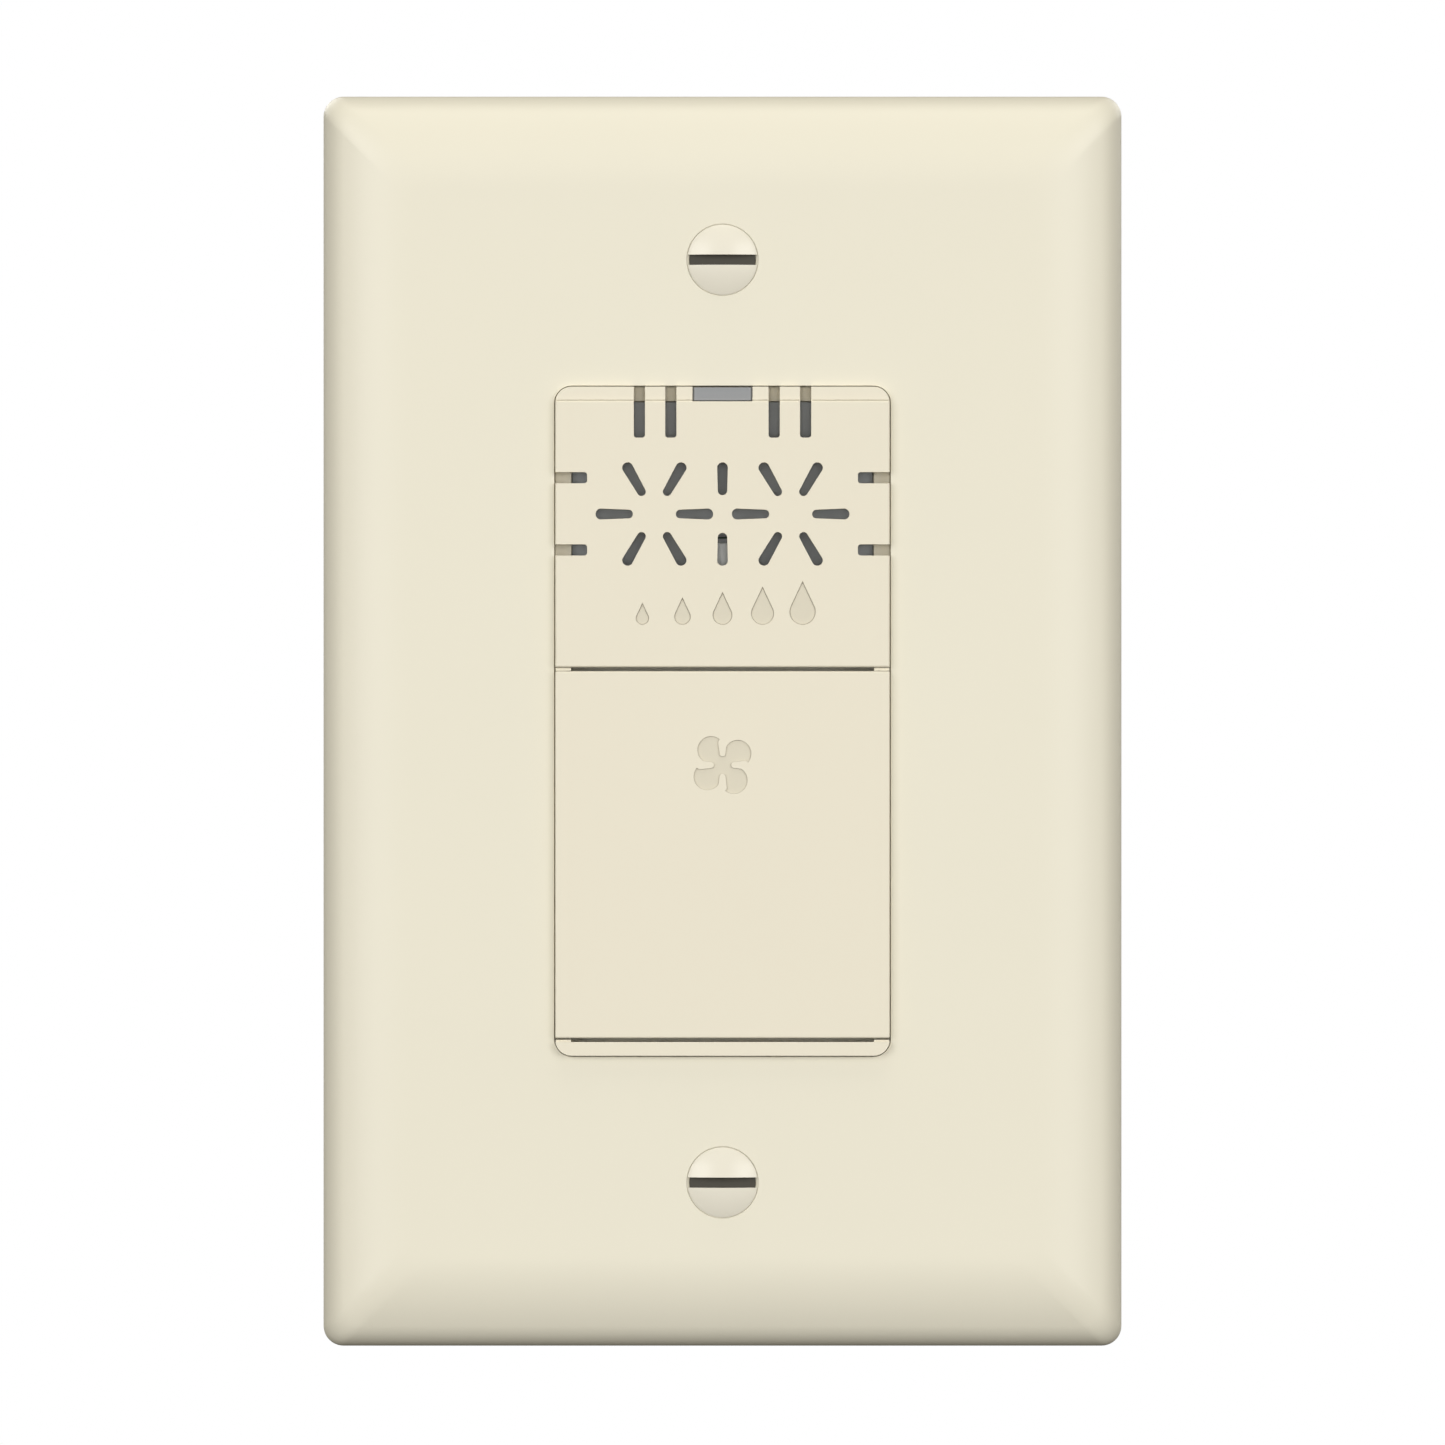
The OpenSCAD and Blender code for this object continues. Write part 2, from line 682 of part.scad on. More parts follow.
module relay_case() color([0.16, 0.32, 0.62]) difference() {
  block([-relay_w / 2, relay_front, relay_z[0]], [relay_w / 2, power_front - relay_base_t, relay_z[1]]);
  block([-relay_w / 2 + relay_wall, relay_front + relay_wall, relay_z[0] + relay_wall],
        [relay_w / 2 - relay_wall, power_front, relay_z[1] - relay_wall]);
}

coil_y = [armature_y[1] + pole_gap + 0.5, 21.8];

module relay_bobbin() color([0.88, 0.86, 0.80]) at(0, coil_z) difference() {
  union() {
    rod(5.2, coil_y[0], coil_y[0] + 0.7);
    rod(5.2, coil_y[1] - 0.7, coil_y[1]);
    rod(2.4, coil_y[0], coil_y[1]);
  }
  rod(1.75, coil_y[0] - over, coil_y[1] + over);
}

module relay_winding() color([0.75, 0.38, 0.16]) at(0, coil_z) difference() {
  rod(4.7, coil_y[0] + 0.7, coil_y[1] - 0.7);
  rod(2.4, coil_y[0], coil_y[1]);
}

module relay_core() color(steel) at(0, coil_z) {
  rod(2.7, coil_y[0] - 0.5, coil_y[0]);
  rod(1.7, coil_y[0], coil_y[1]);
}

// The L-shaped iron that carries the armature on its front edge
module relay_frame() color(steel) {
  block([-5, armature_y[1] + slip, armature_z[0] + 0.1], [5, 22.9, armature_z[0] + 1.3]);
  block([-5, coil_y[1], armature_z[0] + 1.3], [5, 22.9, coil_z + 3]);
}

module relay_armature() color(steel)
  block([-5, armature_y[0], armature_z[0]], [5, armature_y[1], armature_z[1]]);

module relay_contact_blade() color(brass) {
  block([-1.6, armature_y[0], armature_z[1]], [1.6, armature_y[0] + 0.3, blade_contact_z + 0.9]);
  at(0, blade_contact_z) rod(0.9, armature_y[0] + 0.3, armature_y[0] + 0.9);
}

module relay_fixed_contact() color(brass) {
  block([-1.6, 12.9, blade_contact_z - 1], [1.6, 13.3, 24.2]);
  block([-1.6, 13.3, 23.8], [1.6, 22.9, 24.2]);
  at(0, blade_contact_z) rod(0.9, 12.6, 12.9);
}

module film_capacitor() color([0.78, 0.68, 0.22]) block([-8.75, 10.5, -5], [8.75, power_front, 3]);

module electrolytic_capacitors() color([0.12, 0.14, 0.22]) for (x = [-6, 3.5]) at(x, -11.5) difference() {
  rod(4.2, 13, power_front);
  for (a = [0, 90]) rotate([0, a, 0]) block([-2.6, 12.9, -0.15], [2.6, 13.2, 0.15]);
}

module varistor() color([0.14, 0.30, 0.58]) translate([-9, 17.5, -22]) cross_rod(3.9, -1.6, 1.6);

module power_choke() color([0.20, 0.20, 0.21]) at(0, -22) {
  rod(4.2, power_front - 9, power_front - 8);
  rod(2.8, power_front - 8, power_front - 1);
  rod(4.2, power_front - 1, power_front);
}

module bridge_rectifier() color(charcoal) block([-13, power_front - 2.6, -6.6], [-9.4, power_front, -0.4]);

module fuse() color([0.62, 0.56, 0.45]) translate([6.5, power_front - 1.5, -30.4]) cylinder(r = 1.5, h = 7.5);

// ---- Rear housing and its terminals ----

// The three wire terminals: the side each is on, and its height
terminals = [[-1, terminal_z], [-1, -terminal_z], [1, terminal_z]];

module rear_housing() color(charcoal) difference() {
  union() {
    difference() {
      slab(0, body_d) rounded(body_w, body_h, 3);
      slab(-over, body_floor) rounded(body_w - 2 * body_wall, body_h - 2 * body_wall, 2);
    }
    intersection() {
      slab(0, body_d) rounded(body_w, body_h, 3);
      union() {
        four_corners(corner_x, corner_z) rod(3.2, 0, body_d);
        for (t = terminals) mirror([t[0] < 0 ? 1 : 0, 0, 0])
          block([pocket_x - pocket_wall, pocket_y - pocket_wall, t[1] - pocket_z - pocket_wall],
                [body_w / 2, body_d, t[1] + pocket_z + pocket_wall]);
      }
    }
    four_corners(power_post_x, power_post_z) rod(2.2, power_back, body_d - 0.5);
  }
  four_corners(corner_x, corner_z) {
    rod(corner_hole_r, -over, body_d + over);
    rod(housing_head_r + 0.2, housing_head_y, body_d + over);
  }
  four_corners(power_post_x, power_post_z) rod(small_screw_r, power_back - over, power_back + 3.8);
  for (t = terminals) mirror([t[0] < 0 ? 1 : 0, 0, 0]) {
    block([pocket_x, pocket_y, t[1] - pocket_z], [body_w, body_d + over, t[1] + pocket_z]);
    // Slot for the strip's leg, and hole for the screw's end
    block([pocket_x - 2, 18.1, t[1] - 2.1], [pocket_x + over, 19.1, t[1] + 2.1]);
    translate([0, terminal_screw_y, t[1]]) cross_rod(no8_r + 0.15, pocket_x - 2, pocket_x + over);
  }
  slab(body_d - 0.2, body_d + over) rounded(22, 34, 1.5);
}

module housing_screws() color(steel) four_corners(corner_x, corner_z) {
  difference() {
    rod(housing_head_r, housing_head_y, housing_head_y + 1.9);
    for (a = [0, 90]) rotate([0, a, 0])
      block([-1.7, housing_head_y + 0.7, -0.4], [1.7, housing_head_y + 2, 0.4]);
  }
  rod(housing_screw_r, -3.2, housing_head_y);
  taper(0.4, housing_screw_r, -3.8, -3.2);
}

// A strip with a plate in the pocket and a leg that bends back to the power board
module terminal_strip() difference() {
  union() {
    block([pocket_x, 7.6, -4.3], [pocket_x + strip_t, 19, 4.3]);
    block([12.4, 19 - strip_t, -2], [pocket_x, 19, 2]);
    block([12.4, 19, -2], [12.4 + strip_t, power_front, 2]);
  }
  translate([0, terminal_screw_y, 0]) cross_rod(no8_r + slip, pocket_x - 1, pocket_x + 1);
}

module terminal_screw() translate([0, terminal_screw_y, 0]) {
  seat_x = pocket_x + strip_t + clamp_t;
  difference() {
    cross_rod(terminal_head_r, seat_x, seat_x + terminal_head_t);
    block([seat_x + 0.7, -5, -0.6], [seat_x + 2, 5, 0.6]);
    block([seat_x + 0.7, -0.6, -2.3], [seat_x + 2, 0.6, 2.3]);
  }
  cross_rod(no8_r, seat_x - 4.9, seat_x);
}

module at_terminal(t) mirror([t[0] < 0 ? 1 : 0, 0, 0]) at(0, t[1]) children();

module hot_terminal_strips() color(brass) for (k = [0, 1]) at_terminal(terminals[k]) terminal_strip();
module neutral_terminal_strip() color(steel) at_terminal(terminals[2]) terminal_strip();
module hot_terminal_screws() color(brass) for (k = [0, 1]) at_terminal(terminals[k]) terminal_screw();
module neutral_terminal_screw() color(steel) at_terminal(terminals[2]) terminal_screw();

module terminal_clamps() color(steel) for (t = terminals) at_terminal(t) difference() {
  block([pocket_x + strip_t, 8.6, -4.9], [pocket_x + strip_t + clamp_t, 18.4, 4.9]);
  translate([0, terminal_screw_y, 0]) cross_rod(no8_r + slip, pocket_x, pocket_x + 3);
}

module blank_label() color([0.90, 0.90, 0.88]) slab(body_d - 0.2, body_d - 0.05) rounded(21.6, 33.6, 1.4);

wall_plate();
wall_plate_screws();
mounting_yoke();
box_mounting_screws();
screw_retainers();
front_frame();
vent_cover();
indicator_lens();
push_button();
button_return_springs();
sensor_baffle();
sensor_board();
humidity_sensor();
sensor_header();
control_board();
control_board_screws();
button_switch_body();
button_switch_plunger();
humidity_dial_base();
humidity_dial();
timer_dial_base();
timer_dial();
indicator_led();
microcontroller();
board_link_header();
insulating_sheet();
power_board();
power_board_screws();
relay_base();
relay_case();
relay_bobbin();
relay_winding();
relay_core();
relay_frame();
relay_armature();
relay_contact_blade();
relay_fixed_contact();
film_capacitor();
electrolytic_capacitors();
varistor();
power_choke();
bridge_rectifier();
fuse();
rear_housing();
housing_screws();
hot_terminal_screws();
neutral_terminal_screw();
ground_screw();
terminal_clamps();
hot_terminal_strips();
neutral_terminal_strip();
blank_label();
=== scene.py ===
# %% [markdown]
# # An in-wall fan switch, finished for the camera
# The engineering model gives every part its size and place. This notebook turns those plain solids into
# moulded plastic, plated steel and brass: each visible part is modelled again with soft edges and its small
# details, and every part, seen or hidden, gets a material of its own.

# %% Load the frame
import math

import bmesh
import bpy
from mathutils import Matrix, Vector


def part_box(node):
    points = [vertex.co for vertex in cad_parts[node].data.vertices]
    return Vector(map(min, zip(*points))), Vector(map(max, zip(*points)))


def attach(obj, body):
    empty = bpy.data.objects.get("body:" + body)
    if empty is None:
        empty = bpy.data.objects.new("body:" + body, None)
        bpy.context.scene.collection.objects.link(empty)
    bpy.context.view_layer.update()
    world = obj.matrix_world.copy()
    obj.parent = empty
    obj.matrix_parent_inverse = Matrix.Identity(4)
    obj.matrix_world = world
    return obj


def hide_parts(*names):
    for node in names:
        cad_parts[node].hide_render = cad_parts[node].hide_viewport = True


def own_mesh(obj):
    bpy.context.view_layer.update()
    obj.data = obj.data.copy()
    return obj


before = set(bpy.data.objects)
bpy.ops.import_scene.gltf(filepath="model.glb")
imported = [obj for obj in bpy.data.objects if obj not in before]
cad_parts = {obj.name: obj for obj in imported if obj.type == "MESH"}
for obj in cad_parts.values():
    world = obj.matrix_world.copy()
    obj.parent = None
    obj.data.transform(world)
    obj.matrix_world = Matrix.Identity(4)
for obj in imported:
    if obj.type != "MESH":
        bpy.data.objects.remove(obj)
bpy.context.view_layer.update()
MM = 0.001

# %% [markdown]
# The frame also tells where everything is. These few boxes give the levels that the new pieces are built
# from, so a change in the engineering model carries over to the looks.

# %% Places read from the frame
plate_low, plate_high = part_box("wall_plate")
cover_low, cover_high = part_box("vent_cover")
button_low, button_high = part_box("push_button")
plate_screw_low, plate_screw_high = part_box("wall_plate_screws")
lens_low, lens_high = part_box("indicator_lens")

face_y = cover_low.y
face_half = cover_high.x
face_top = cover_high.z
plate_front = plate_low.y
yoke_front = -1.3 * MM
print("face stands", round((plate_front - face_y) / MM, 2), "mm in front of the plate")

# %% [markdown]
# ## Helpers
# An operator works on whatever is selected, so every step starts by selecting one piece only. The helpers
# below are the moves made again and again at the bench: cut a blank from sheet, pull it out to a
# thickness, cut one shape with another, and take the sharpness off the edges.

# %% Select, edit and pick
def select_only(piece):
    bpy.ops.object.select_all(action="DESELECT")
    piece.select_set(True)
    bpy.context.view_layer.objects.active = piece


def start_editing(piece, pick="NOTHING"):
    select_only(piece)
    bpy.ops.object.mode_set(mode="EDIT")
    bpy.ops.mesh.select_all(action="SELECT" if pick == "ALL" else "DESELECT")


def stop_editing():
    bpy.ops.object.mode_set(mode="OBJECT")


def pick(piece, kind, rule):
    """In edit mode, selects the verts, edges or faces whose middle obeys the rule, and nothing else."""
    bpy.ops.mesh.select_mode(type={"verts": "VERT", "edges": "EDGE", "faces": "FACE"}[kind])
    bpy.ops.mesh.select_all(action="DESELECT")
    mesh = bmesh.from_edit_mesh(piece.data)
    for part in getattr(mesh, kind):
        middle = part.co if kind == "verts" else (
            part.calc_center_median() if kind == "faces" else (part.verts[0].co + part.verts[1].co) / 2)
        if rule(middle, part):
            part.select_set(True)
    mesh.select_flush_mode()
    bmesh.update_edit_mesh(piece.data)


# %% Blanks, cuts and soft edges
def blank(name, low_x, high_x, low_z, high_z, y, corner=0.0, corner_steps=8, only_top=False):
    """A flat rectangle with round corners that stands upright at depth y and faces the room."""
    bpy.ops.object.select_all(action="DESELECT")
    place = ((low_x + high_x) / 2, y, (low_z + high_z) / 2)
    bpy.ops.mesh.primitive_plane_add(size=1, location=place, rotation=(math.pi / 2, 0, 0))
    piece = bpy.context.object
    piece.name = name
    piece.scale = (high_x - low_x, high_z - low_z, 1)
    bpy.ops.object.transform_apply()
    if corner:
        start_editing(piece)
        pick(piece, "verts", lambda at, _: at.z > place[2] or not only_top)
        bpy.ops.mesh.bevel(offset=corner, segments=corner_steps, affect="VERTICES")
        stop_editing()
    return piece


def pull_back(piece, depth):
    """Pulls a blank out into a solid that reaches depth further into the wall."""
    start_editing(piece, "ALL")
    bpy.ops.mesh.extrude_region_move(TRANSFORM_OT_translate={"value": (0, depth, 0)})
    bpy.ops.mesh.select_all(action="SELECT")
    bpy.ops.mesh.normals_make_consistent(inside=False)
    stop_editing()
    return piece


def block(name, low, high):
    """A rectangular solid from its lowest to its highest corner."""
    piece = blank(name, low[0], high[0], low[2], high[2], low[1])
    return pull_back(piece, high[1] - low[1])


def rod(name, radius, y0, y1, x=0.0, z=0.0, sides=64, end_radius=None):
    """A round solid along Y, straight or tapered."""
    bpy.ops.object.select_all(action="DESELECT")
    bpy.ops.mesh.primitive_cone_add(
        vertices=sides, radius1=end_radius or radius, radius2=radius, depth=y1 - y0,
        location=(x, (y0 + y1) / 2, z), rotation=(math.pi / 2, 0, 0))
    piece = bpy.context.object
    piece.name = name
    bpy.ops.object.transform_apply()
    return piece


def combine(piece, tool, how="DIFFERENCE"):
    """Joins the tool to the piece, or cuts with it, and throws the tool away."""
    select_only(piece)
    joint = piece.modifiers.new("combine", "BOOLEAN")
    joint.operation = how
    joint.solver = "EXACT"
    joint.object = tool
    bpy.ops.object.modifier_apply(modifier=joint.name)
    bpy.data.objects.remove(tool, do_unlink=True)
    return piece


def turned_copy(piece, name, turn, about=(0, 0)):
    """A copy with its own mesh, turned in the plane of the wall about a point."""
    copy = piece.copy()
    copy.data = piece.data.copy()
    copy.name = name
    bpy.context.scene.collection.objects.link(copy)
    centre = Vector((about[0], 0, about[1]))
    spin = Matrix.Rotation(turn, 4, "Y")
    copy.data.transform(Matrix.Translation(centre) @ spin @ Matrix.Translation(-centre))
    return copy


def join(pieces, name):
    """Several loose solids as one piece."""
    bpy.ops.object.select_all(action="DESELECT")
    for piece in pieces:
        piece.select_set(True)
    bpy.context.view_layer.objects.active = pieces[0]
    bpy.ops.object.join()
    pieces[0].name = name
    return pieces[0]


def soften(piece, width, steps=3, angle=32):
    """Rounds every edge sharper than the angle, and keeps flat faces looking flat."""
    select_only(piece)
    bpy.ops.object.shade_smooth()
    rounding = piece.modifiers.new("soft edges", "BEVEL")
    rounding.width = width
    rounding.segments = steps
    rounding.limit_method = "ANGLE"
    rounding.angle_limit = math.radians(angle)
    rounding.use_clamp_overlap = True
    bpy.ops.object.modifier_apply(modifier=rounding.name)
    settle_normals(piece)
    return piece


def weld(piece, reach=0.002):
    """Merges points that a cut left almost on top of each other, so the skin stays closed."""
    start_editing(piece, "ALL")
    bpy.ops.mesh.select_all(action="SELECT")
    bpy.ops.mesh.remove_doubles(threshold=reach * MM)
    bpy.ops.mesh.dissolve_degenerate(threshold=reach * MM)
    stop_editing()


def settle_normals(piece, crease=50):
    """Gives each corner the average normal of the faces round it, weighted by their size, so that a
    large flat face stays flat right up to its rounded edges."""
    mesh = piece.data
    limit = math.cos(math.radians(crease))
    around = [[] for _ in mesh.vertices]
    for face in mesh.polygons:
        for vert in face.vertices:
            around[vert].append((face.normal.copy(), face.area))
    normals = []
    for face in mesh.polygons:
        for vert in face.vertices:
            total = Vector((0, 0, 0))
            for normal, area in around[vert]:
                if normal.dot(face.normal) > limit:
                    total += normal * area
            normals.append(total.normalized() if total.length > 0 else face.normal.copy())
    mesh.normals_split_custom_set(normals)


def round_edges(piece, rule, width, steps=4):
    """Rounds only the edges whose middle obeys the rule."""
    start_editing(piece)
    pick(piece, "edges", lambda at, _: rule(at))
    bpy.ops.mesh.bevel(offset=width, segments=steps, affect="EDGES", clamp_overlap=True)
    stop_editing()


def close_to(value, target):
    return abs(value - target) < 0.01 * MM


def etch_mark(piece, inside):
    """Gives an engraved mark its own finish: its floor has a duller, finer grain and is painted a little
    darker as shade in the recess, and its thin walls are painted darker still as the shade along its edges.
    """
    piece.data.materials.append(etched_floor_grain_and_shade)
    piece.data.materials.append(etched_wall_painted_shade)
    # Floor faces get the painted shade of the recess, wall faces the darker painted shade of the edges.
    for face in piece.data.polygons:
        at = face.center
        if at.y > face_y + 0.01 * MM and at.y < face_y + MARK + 0.05 * MM and inside(at):
            face.material_index = 1 if face.normal.y < -0.95 else 2


def finish_piece(piece, material, body, slot, *nodes):
    """Gives a piece its material and its body, and hides the nodes it stands for. The slot argument is not
    used.
    """
    piece.data.materials.clear()
    piece.data.materials.append(material)
    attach(piece, body)
    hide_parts(*nodes)
    faces = len(piece.data.polygons)
    print(f"{piece.name}: {faces} faces, stands for {', '.join(nodes)}")


# %% [markdown]
# Some parts already have the right shape in the engineering model and only lack the softness of a real
# moulding or stamping. For those a copy of the mesh is taken, its loose triangles are merged and its flat
# faces made whole again, and then its edges are rounded.

# %% Refine a copy
def refine(node, material, slot, width, body="switch", steps=2, angle=35):
    piece = bpy.data.objects.new(node + "_finished", bpy.data.objects[node].data.copy())
    bpy.context.scene.collection.objects.link(piece)
    start_editing(piece, "ALL")
    bpy.ops.mesh.remove_doubles(threshold=0.001 * MM)
    bpy.ops.mesh.select_all(action="SELECT")
    bpy.ops.mesh.dissolve_limited(angle_limit=math.radians(0.5))
    stop_editing()
    soften(piece, width, steps, angle)
    finish_piece(piece, material, body, slot, node)
    return piece


# %% [markdown]
# ## Node groups
# Several finishes share an effect. Each effect is a node group that gives back masks and heights only, and
# every material places the group with its own values. All of them read Object coordinates, which are
# metres in the frame, so a scale of 1000 means a pattern about a millimetre across.

# %% Small helpers for node trees
def new_group(name, inputs):
    """A shader node group with number inputs, and its first two nodes."""
    tree = bpy.data.node_groups.new(name, "ShaderNodeTree")
    for label, value in inputs.items():
        socket = tree.interface.new_socket(label, in_out="INPUT", socket_type="NodeSocketFloat")
        socket.default_value = value
    return tree, tree.nodes.new("NodeGroupInput"), tree.nodes.new("NodeGroupOutput")


def add_output(tree, label):
    tree.interface.new_socket(label, in_out="OUTPUT", socket_type="NodeSocketFloat")


def add_node(tree, kind, **values):
    """Adds a node and sets its properties, or its inputs where the name is an input's."""
    node = tree.nodes.new(kind)
    for key, value in values.items():
        label = key.replace("_", " ").title()
        if key in node.bl_rna.properties and key != "color":
            setattr(node, key, value)
        else:
            node.inputs[label].default_value = value
    return node


def math_node(tree, operation, first, second):
    node = add_node(tree, "ShaderNodeMath", operation=operation)
    for socket, value in zip(node.inputs, (first, second)):
        if isinstance(value, (int, float)):
            socket.default_value = value
        else:
            tree.links.new(value, socket)
    return node.outputs[0]


# %% Group: the surface of moulded plastic
def make_mould_surface():
    """Slow flow marks, and the fine texture that a polished mould leaves."""
    tree, inside, outside = new_group(
        "mould_surface", {"Flow Scale": 60.0, "Grain Scale": 5000.0, "Grain Depth": 0.5})
    place = add_node(tree, "ShaderNodeTexCoord").outputs["Object"]
    flow = add_node(tree, "ShaderNodeTexNoise", detail=3.0, roughness=0.45)
    grain = add_node(tree, "ShaderNodeTexNoise", detail=2.0, roughness=0.6)
    peel = add_node(tree, "ShaderNodeTexNoise", scale=420.0, detail=1.0)
    for noise in (flow, grain, peel):
        tree.links.new(place, noise.inputs["Vector"])
    tree.links.new(inside.outputs["Flow Scale"], flow.inputs["Scale"])
    tree.links.new(inside.outputs["Grain Scale"], grain.inputs["Scale"])
    fine = math_node(tree, "MULTIPLY", grain.outputs["Fac"], inside.outputs["Grain Depth"])
    height = math_node(tree, "ADD", fine, peel.outputs["Fac"])
    for label, source in (("Flow", flow.outputs["Fac"]), ("Grain", grain.outputs["Fac"]), ("Height", height)):
        add_output(tree, label)
        tree.links.new(source, outside.inputs[label])
    return tree


# %% Group: plated and rolled metal
def make_metal_surface():
    """Crystal patches of a zinc coating, fine rolling lines along Z, and scattered scratches."""
    tree, inside, outside = new_group(
        "metal_surface", {"Patch Scale": 450.0, "Line Scale": 5000.0, "Line Stretch": 0.03})
    place = add_node(tree, "ShaderNodeTexCoord").outputs["Object"]
    patches = add_node(tree, "ShaderNodeTexVoronoi", randomness=1.0)
    tree.links.new(place, patches.inputs["Vector"])
    tree.links.new(inside.outputs["Patch Scale"], patches.inputs["Scale"])
    tone = add_node(tree, "ShaderNodeSeparateColor")
    tree.links.new(patches.outputs["Color"], tone.inputs["Color"])
    stretch = add_node(tree, "ShaderNodeCombineXYZ", x=1.0, y=1.0)
    tree.links.new(inside.outputs["Line Stretch"], stretch.inputs["Z"])
    along = add_node(tree, "ShaderNodeVectorMath", operation="MULTIPLY")
    tree.links.new(place, along.inputs[0])
    tree.links.new(stretch.outputs[0], along.inputs[1])
    lines = add_node(tree, "ShaderNodeTexNoise", detail=4.0, roughness=0.65)
    tree.links.new(along.outputs[0], lines.inputs["Vector"])
    tree.links.new(inside.outputs["Line Scale"], lines.inputs["Scale"])
    for label, source in (("Patch", tone.outputs[0]), ("Line", lines.outputs["Fac"])):
        add_output(tree, label)
        tree.links.new(source, outside.inputs[label])
    return tree


# %% Group: dust and handling
def make_light_dust():
    """Sparse pale specks and soft smudges, from 0 on clean surface to 1 in a speck."""
    tree, inside, outside = new_group("light_dust", {"Amount": 0.3, "Speck Scale": 1400.0})
    place = add_node(tree, "ShaderNodeTexCoord").outputs["Object"]
    specks = add_node(tree, "ShaderNodeTexNoise", detail=2.0, roughness=0.7)
    smudge = add_node(tree, "ShaderNodeTexNoise", scale=90.0, detail=3.0)
    tree.links.new(place, specks.inputs["Vector"])
    tree.links.new(place, smudge.inputs["Vector"])
    tree.links.new(inside.outputs["Speck Scale"], specks.inputs["Scale"])
    high = math_node(tree, "SUBTRACT", specks.outputs["Fac"], 0.66)
    sharp = math_node(tree, "MULTIPLY", high, 9.0)
    kept = math_node(tree, "MULTIPLY", sharp, smudge.outputs["Fac"])
    amount = math_node(tree, "MULTIPLY", kept, inside.outputs["Amount"])
    clamped = add_node(tree, "ShaderNodeClamp")
    tree.links.new(amount, clamped.inputs["Value"])
    add_output(tree, "Dust")
    tree.links.new(clamped.outputs[0], outside.inputs["Dust"])
    return tree


MOULD = make_mould_surface()
METAL = make_metal_surface()
DUST = make_light_dust()
print("node groups:", [g.name for g in bpy.data.node_groups])


# %% [markdown]
# ## Materials
# Moulded plastic is nearly one colour, and what makes it look real is small: a tone that drifts by one part
# in a hundred, a gloss that is a little uneven, and the orange-peel of the mould. So one function makes
# every plastic, with its own colour, gloss and grain, and another makes every metal.

# %% Make a plastic
def place_group(tree, group, **values):
    node = tree.nodes.new("ShaderNodeGroup")
    node.node_tree = group
    for key, value in values.items():
        node.inputs[key.replace("_", " ").title()].default_value = value
    return node


def remap(tree, source, low, high):
    """Turns a 0 to 1 mask into values from low to high."""
    node = add_node(tree, "ShaderNodeMapRange")
    tree.links.new(source, node.inputs["Value"])
    node.inputs["To Min"].default_value = low
    node.inputs["To Max"].default_value = high
    return node.outputs["Result"]


def mix_colours(tree, mask, first, second):
    node = add_node(tree, "ShaderNodeMix", data_type="RGBA")
    tree.links.new(mask, node.inputs["Factor"])
    for socket, value in ((node.inputs[6], first), (node.inputs[7], second)):
        if isinstance(value, (tuple, list)):
            socket.default_value = (*value[:3], 1)
        else:
            tree.links.new(value, socket)
    return node.outputs[2]


def shade_of(colour, factor):
    return tuple(min(1.0, c * factor) for c in colour)


def new_material(name):
    material = bpy.data.materials.new(name)
    material.use_nodes = True
    tree = material.node_tree
    return material, tree, tree.nodes["Principled BSDF"]


def plastic(name, colour, gloss=(0.34, 0.44), drift=0.03, grain=5000.0, bump=0.04, dust=0.15, bump_size=0.02):
    """Moulded plastic: colour is linear, gloss the range of its roughness, bump_size in millimetres."""
    material, tree, shader = new_material(name)
    mould = place_group(tree, MOULD, grain_scale=grain)
    specks = place_group(tree, DUST, amount=dust)
    tone = mix_colours(tree, mould.outputs["Flow"], shade_of(colour, 1 - drift), shade_of(colour, 1 + drift))
    dusty = mix_colours(tree, specks.outputs["Dust"], tone, (0.62, 0.60, 0.56))
    tree.links.new(dusty, shader.inputs["Base Color"])
    tree.links.new(remap(tree, mould.outputs["Grain"], *gloss), shader.inputs["Roughness"])
    relief = add_node(tree, "ShaderNodeBump", strength=bump, distance=bump_size * MM)
    tree.links.new(mould.outputs["Height"], relief.inputs["Height"])
    tree.links.new(relief.outputs["Normal"], shader.inputs["Normal"])
    shader.inputs["IOR"].default_value = 1.5
    return material


# %% Make a metal
def metal(name, colour, rough=(0.25, 0.42), patch=0.06, line_scale=5000.0, patch_scale=450.0, bump=0.1):
    """Plated or bare metal: patches change its tone, rolling lines change its gloss and relief."""
    material, tree, shader = new_material(name)
    surface = place_group(tree, METAL, patch_scale=patch_scale, line_scale=line_scale)
    specks = place_group(tree, DUST, amount=0.25)
    tone = mix_colours(
        tree, surface.outputs["Patch"], shade_of(colour, 1 - patch), shade_of(colour, 1 + patch))
    dusty = mix_colours(tree, specks.outputs["Dust"], tone, (0.45, 0.43, 0.40))
    tree.links.new(dusty, shader.inputs["Base Color"])
    tree.links.new(remap(tree, surface.outputs["Line"], *rough), shader.inputs["Roughness"])
    relief = add_node(tree, "ShaderNodeBump", strength=bump, distance=0.01 * MM)
    tree.links.new(surface.outputs["Line"], relief.inputs["Height"])
    tree.links.new(relief.outputs["Normal"], shader.inputs["Normal"])
    shader.inputs["Metallic"].default_value = 1.0
    return material


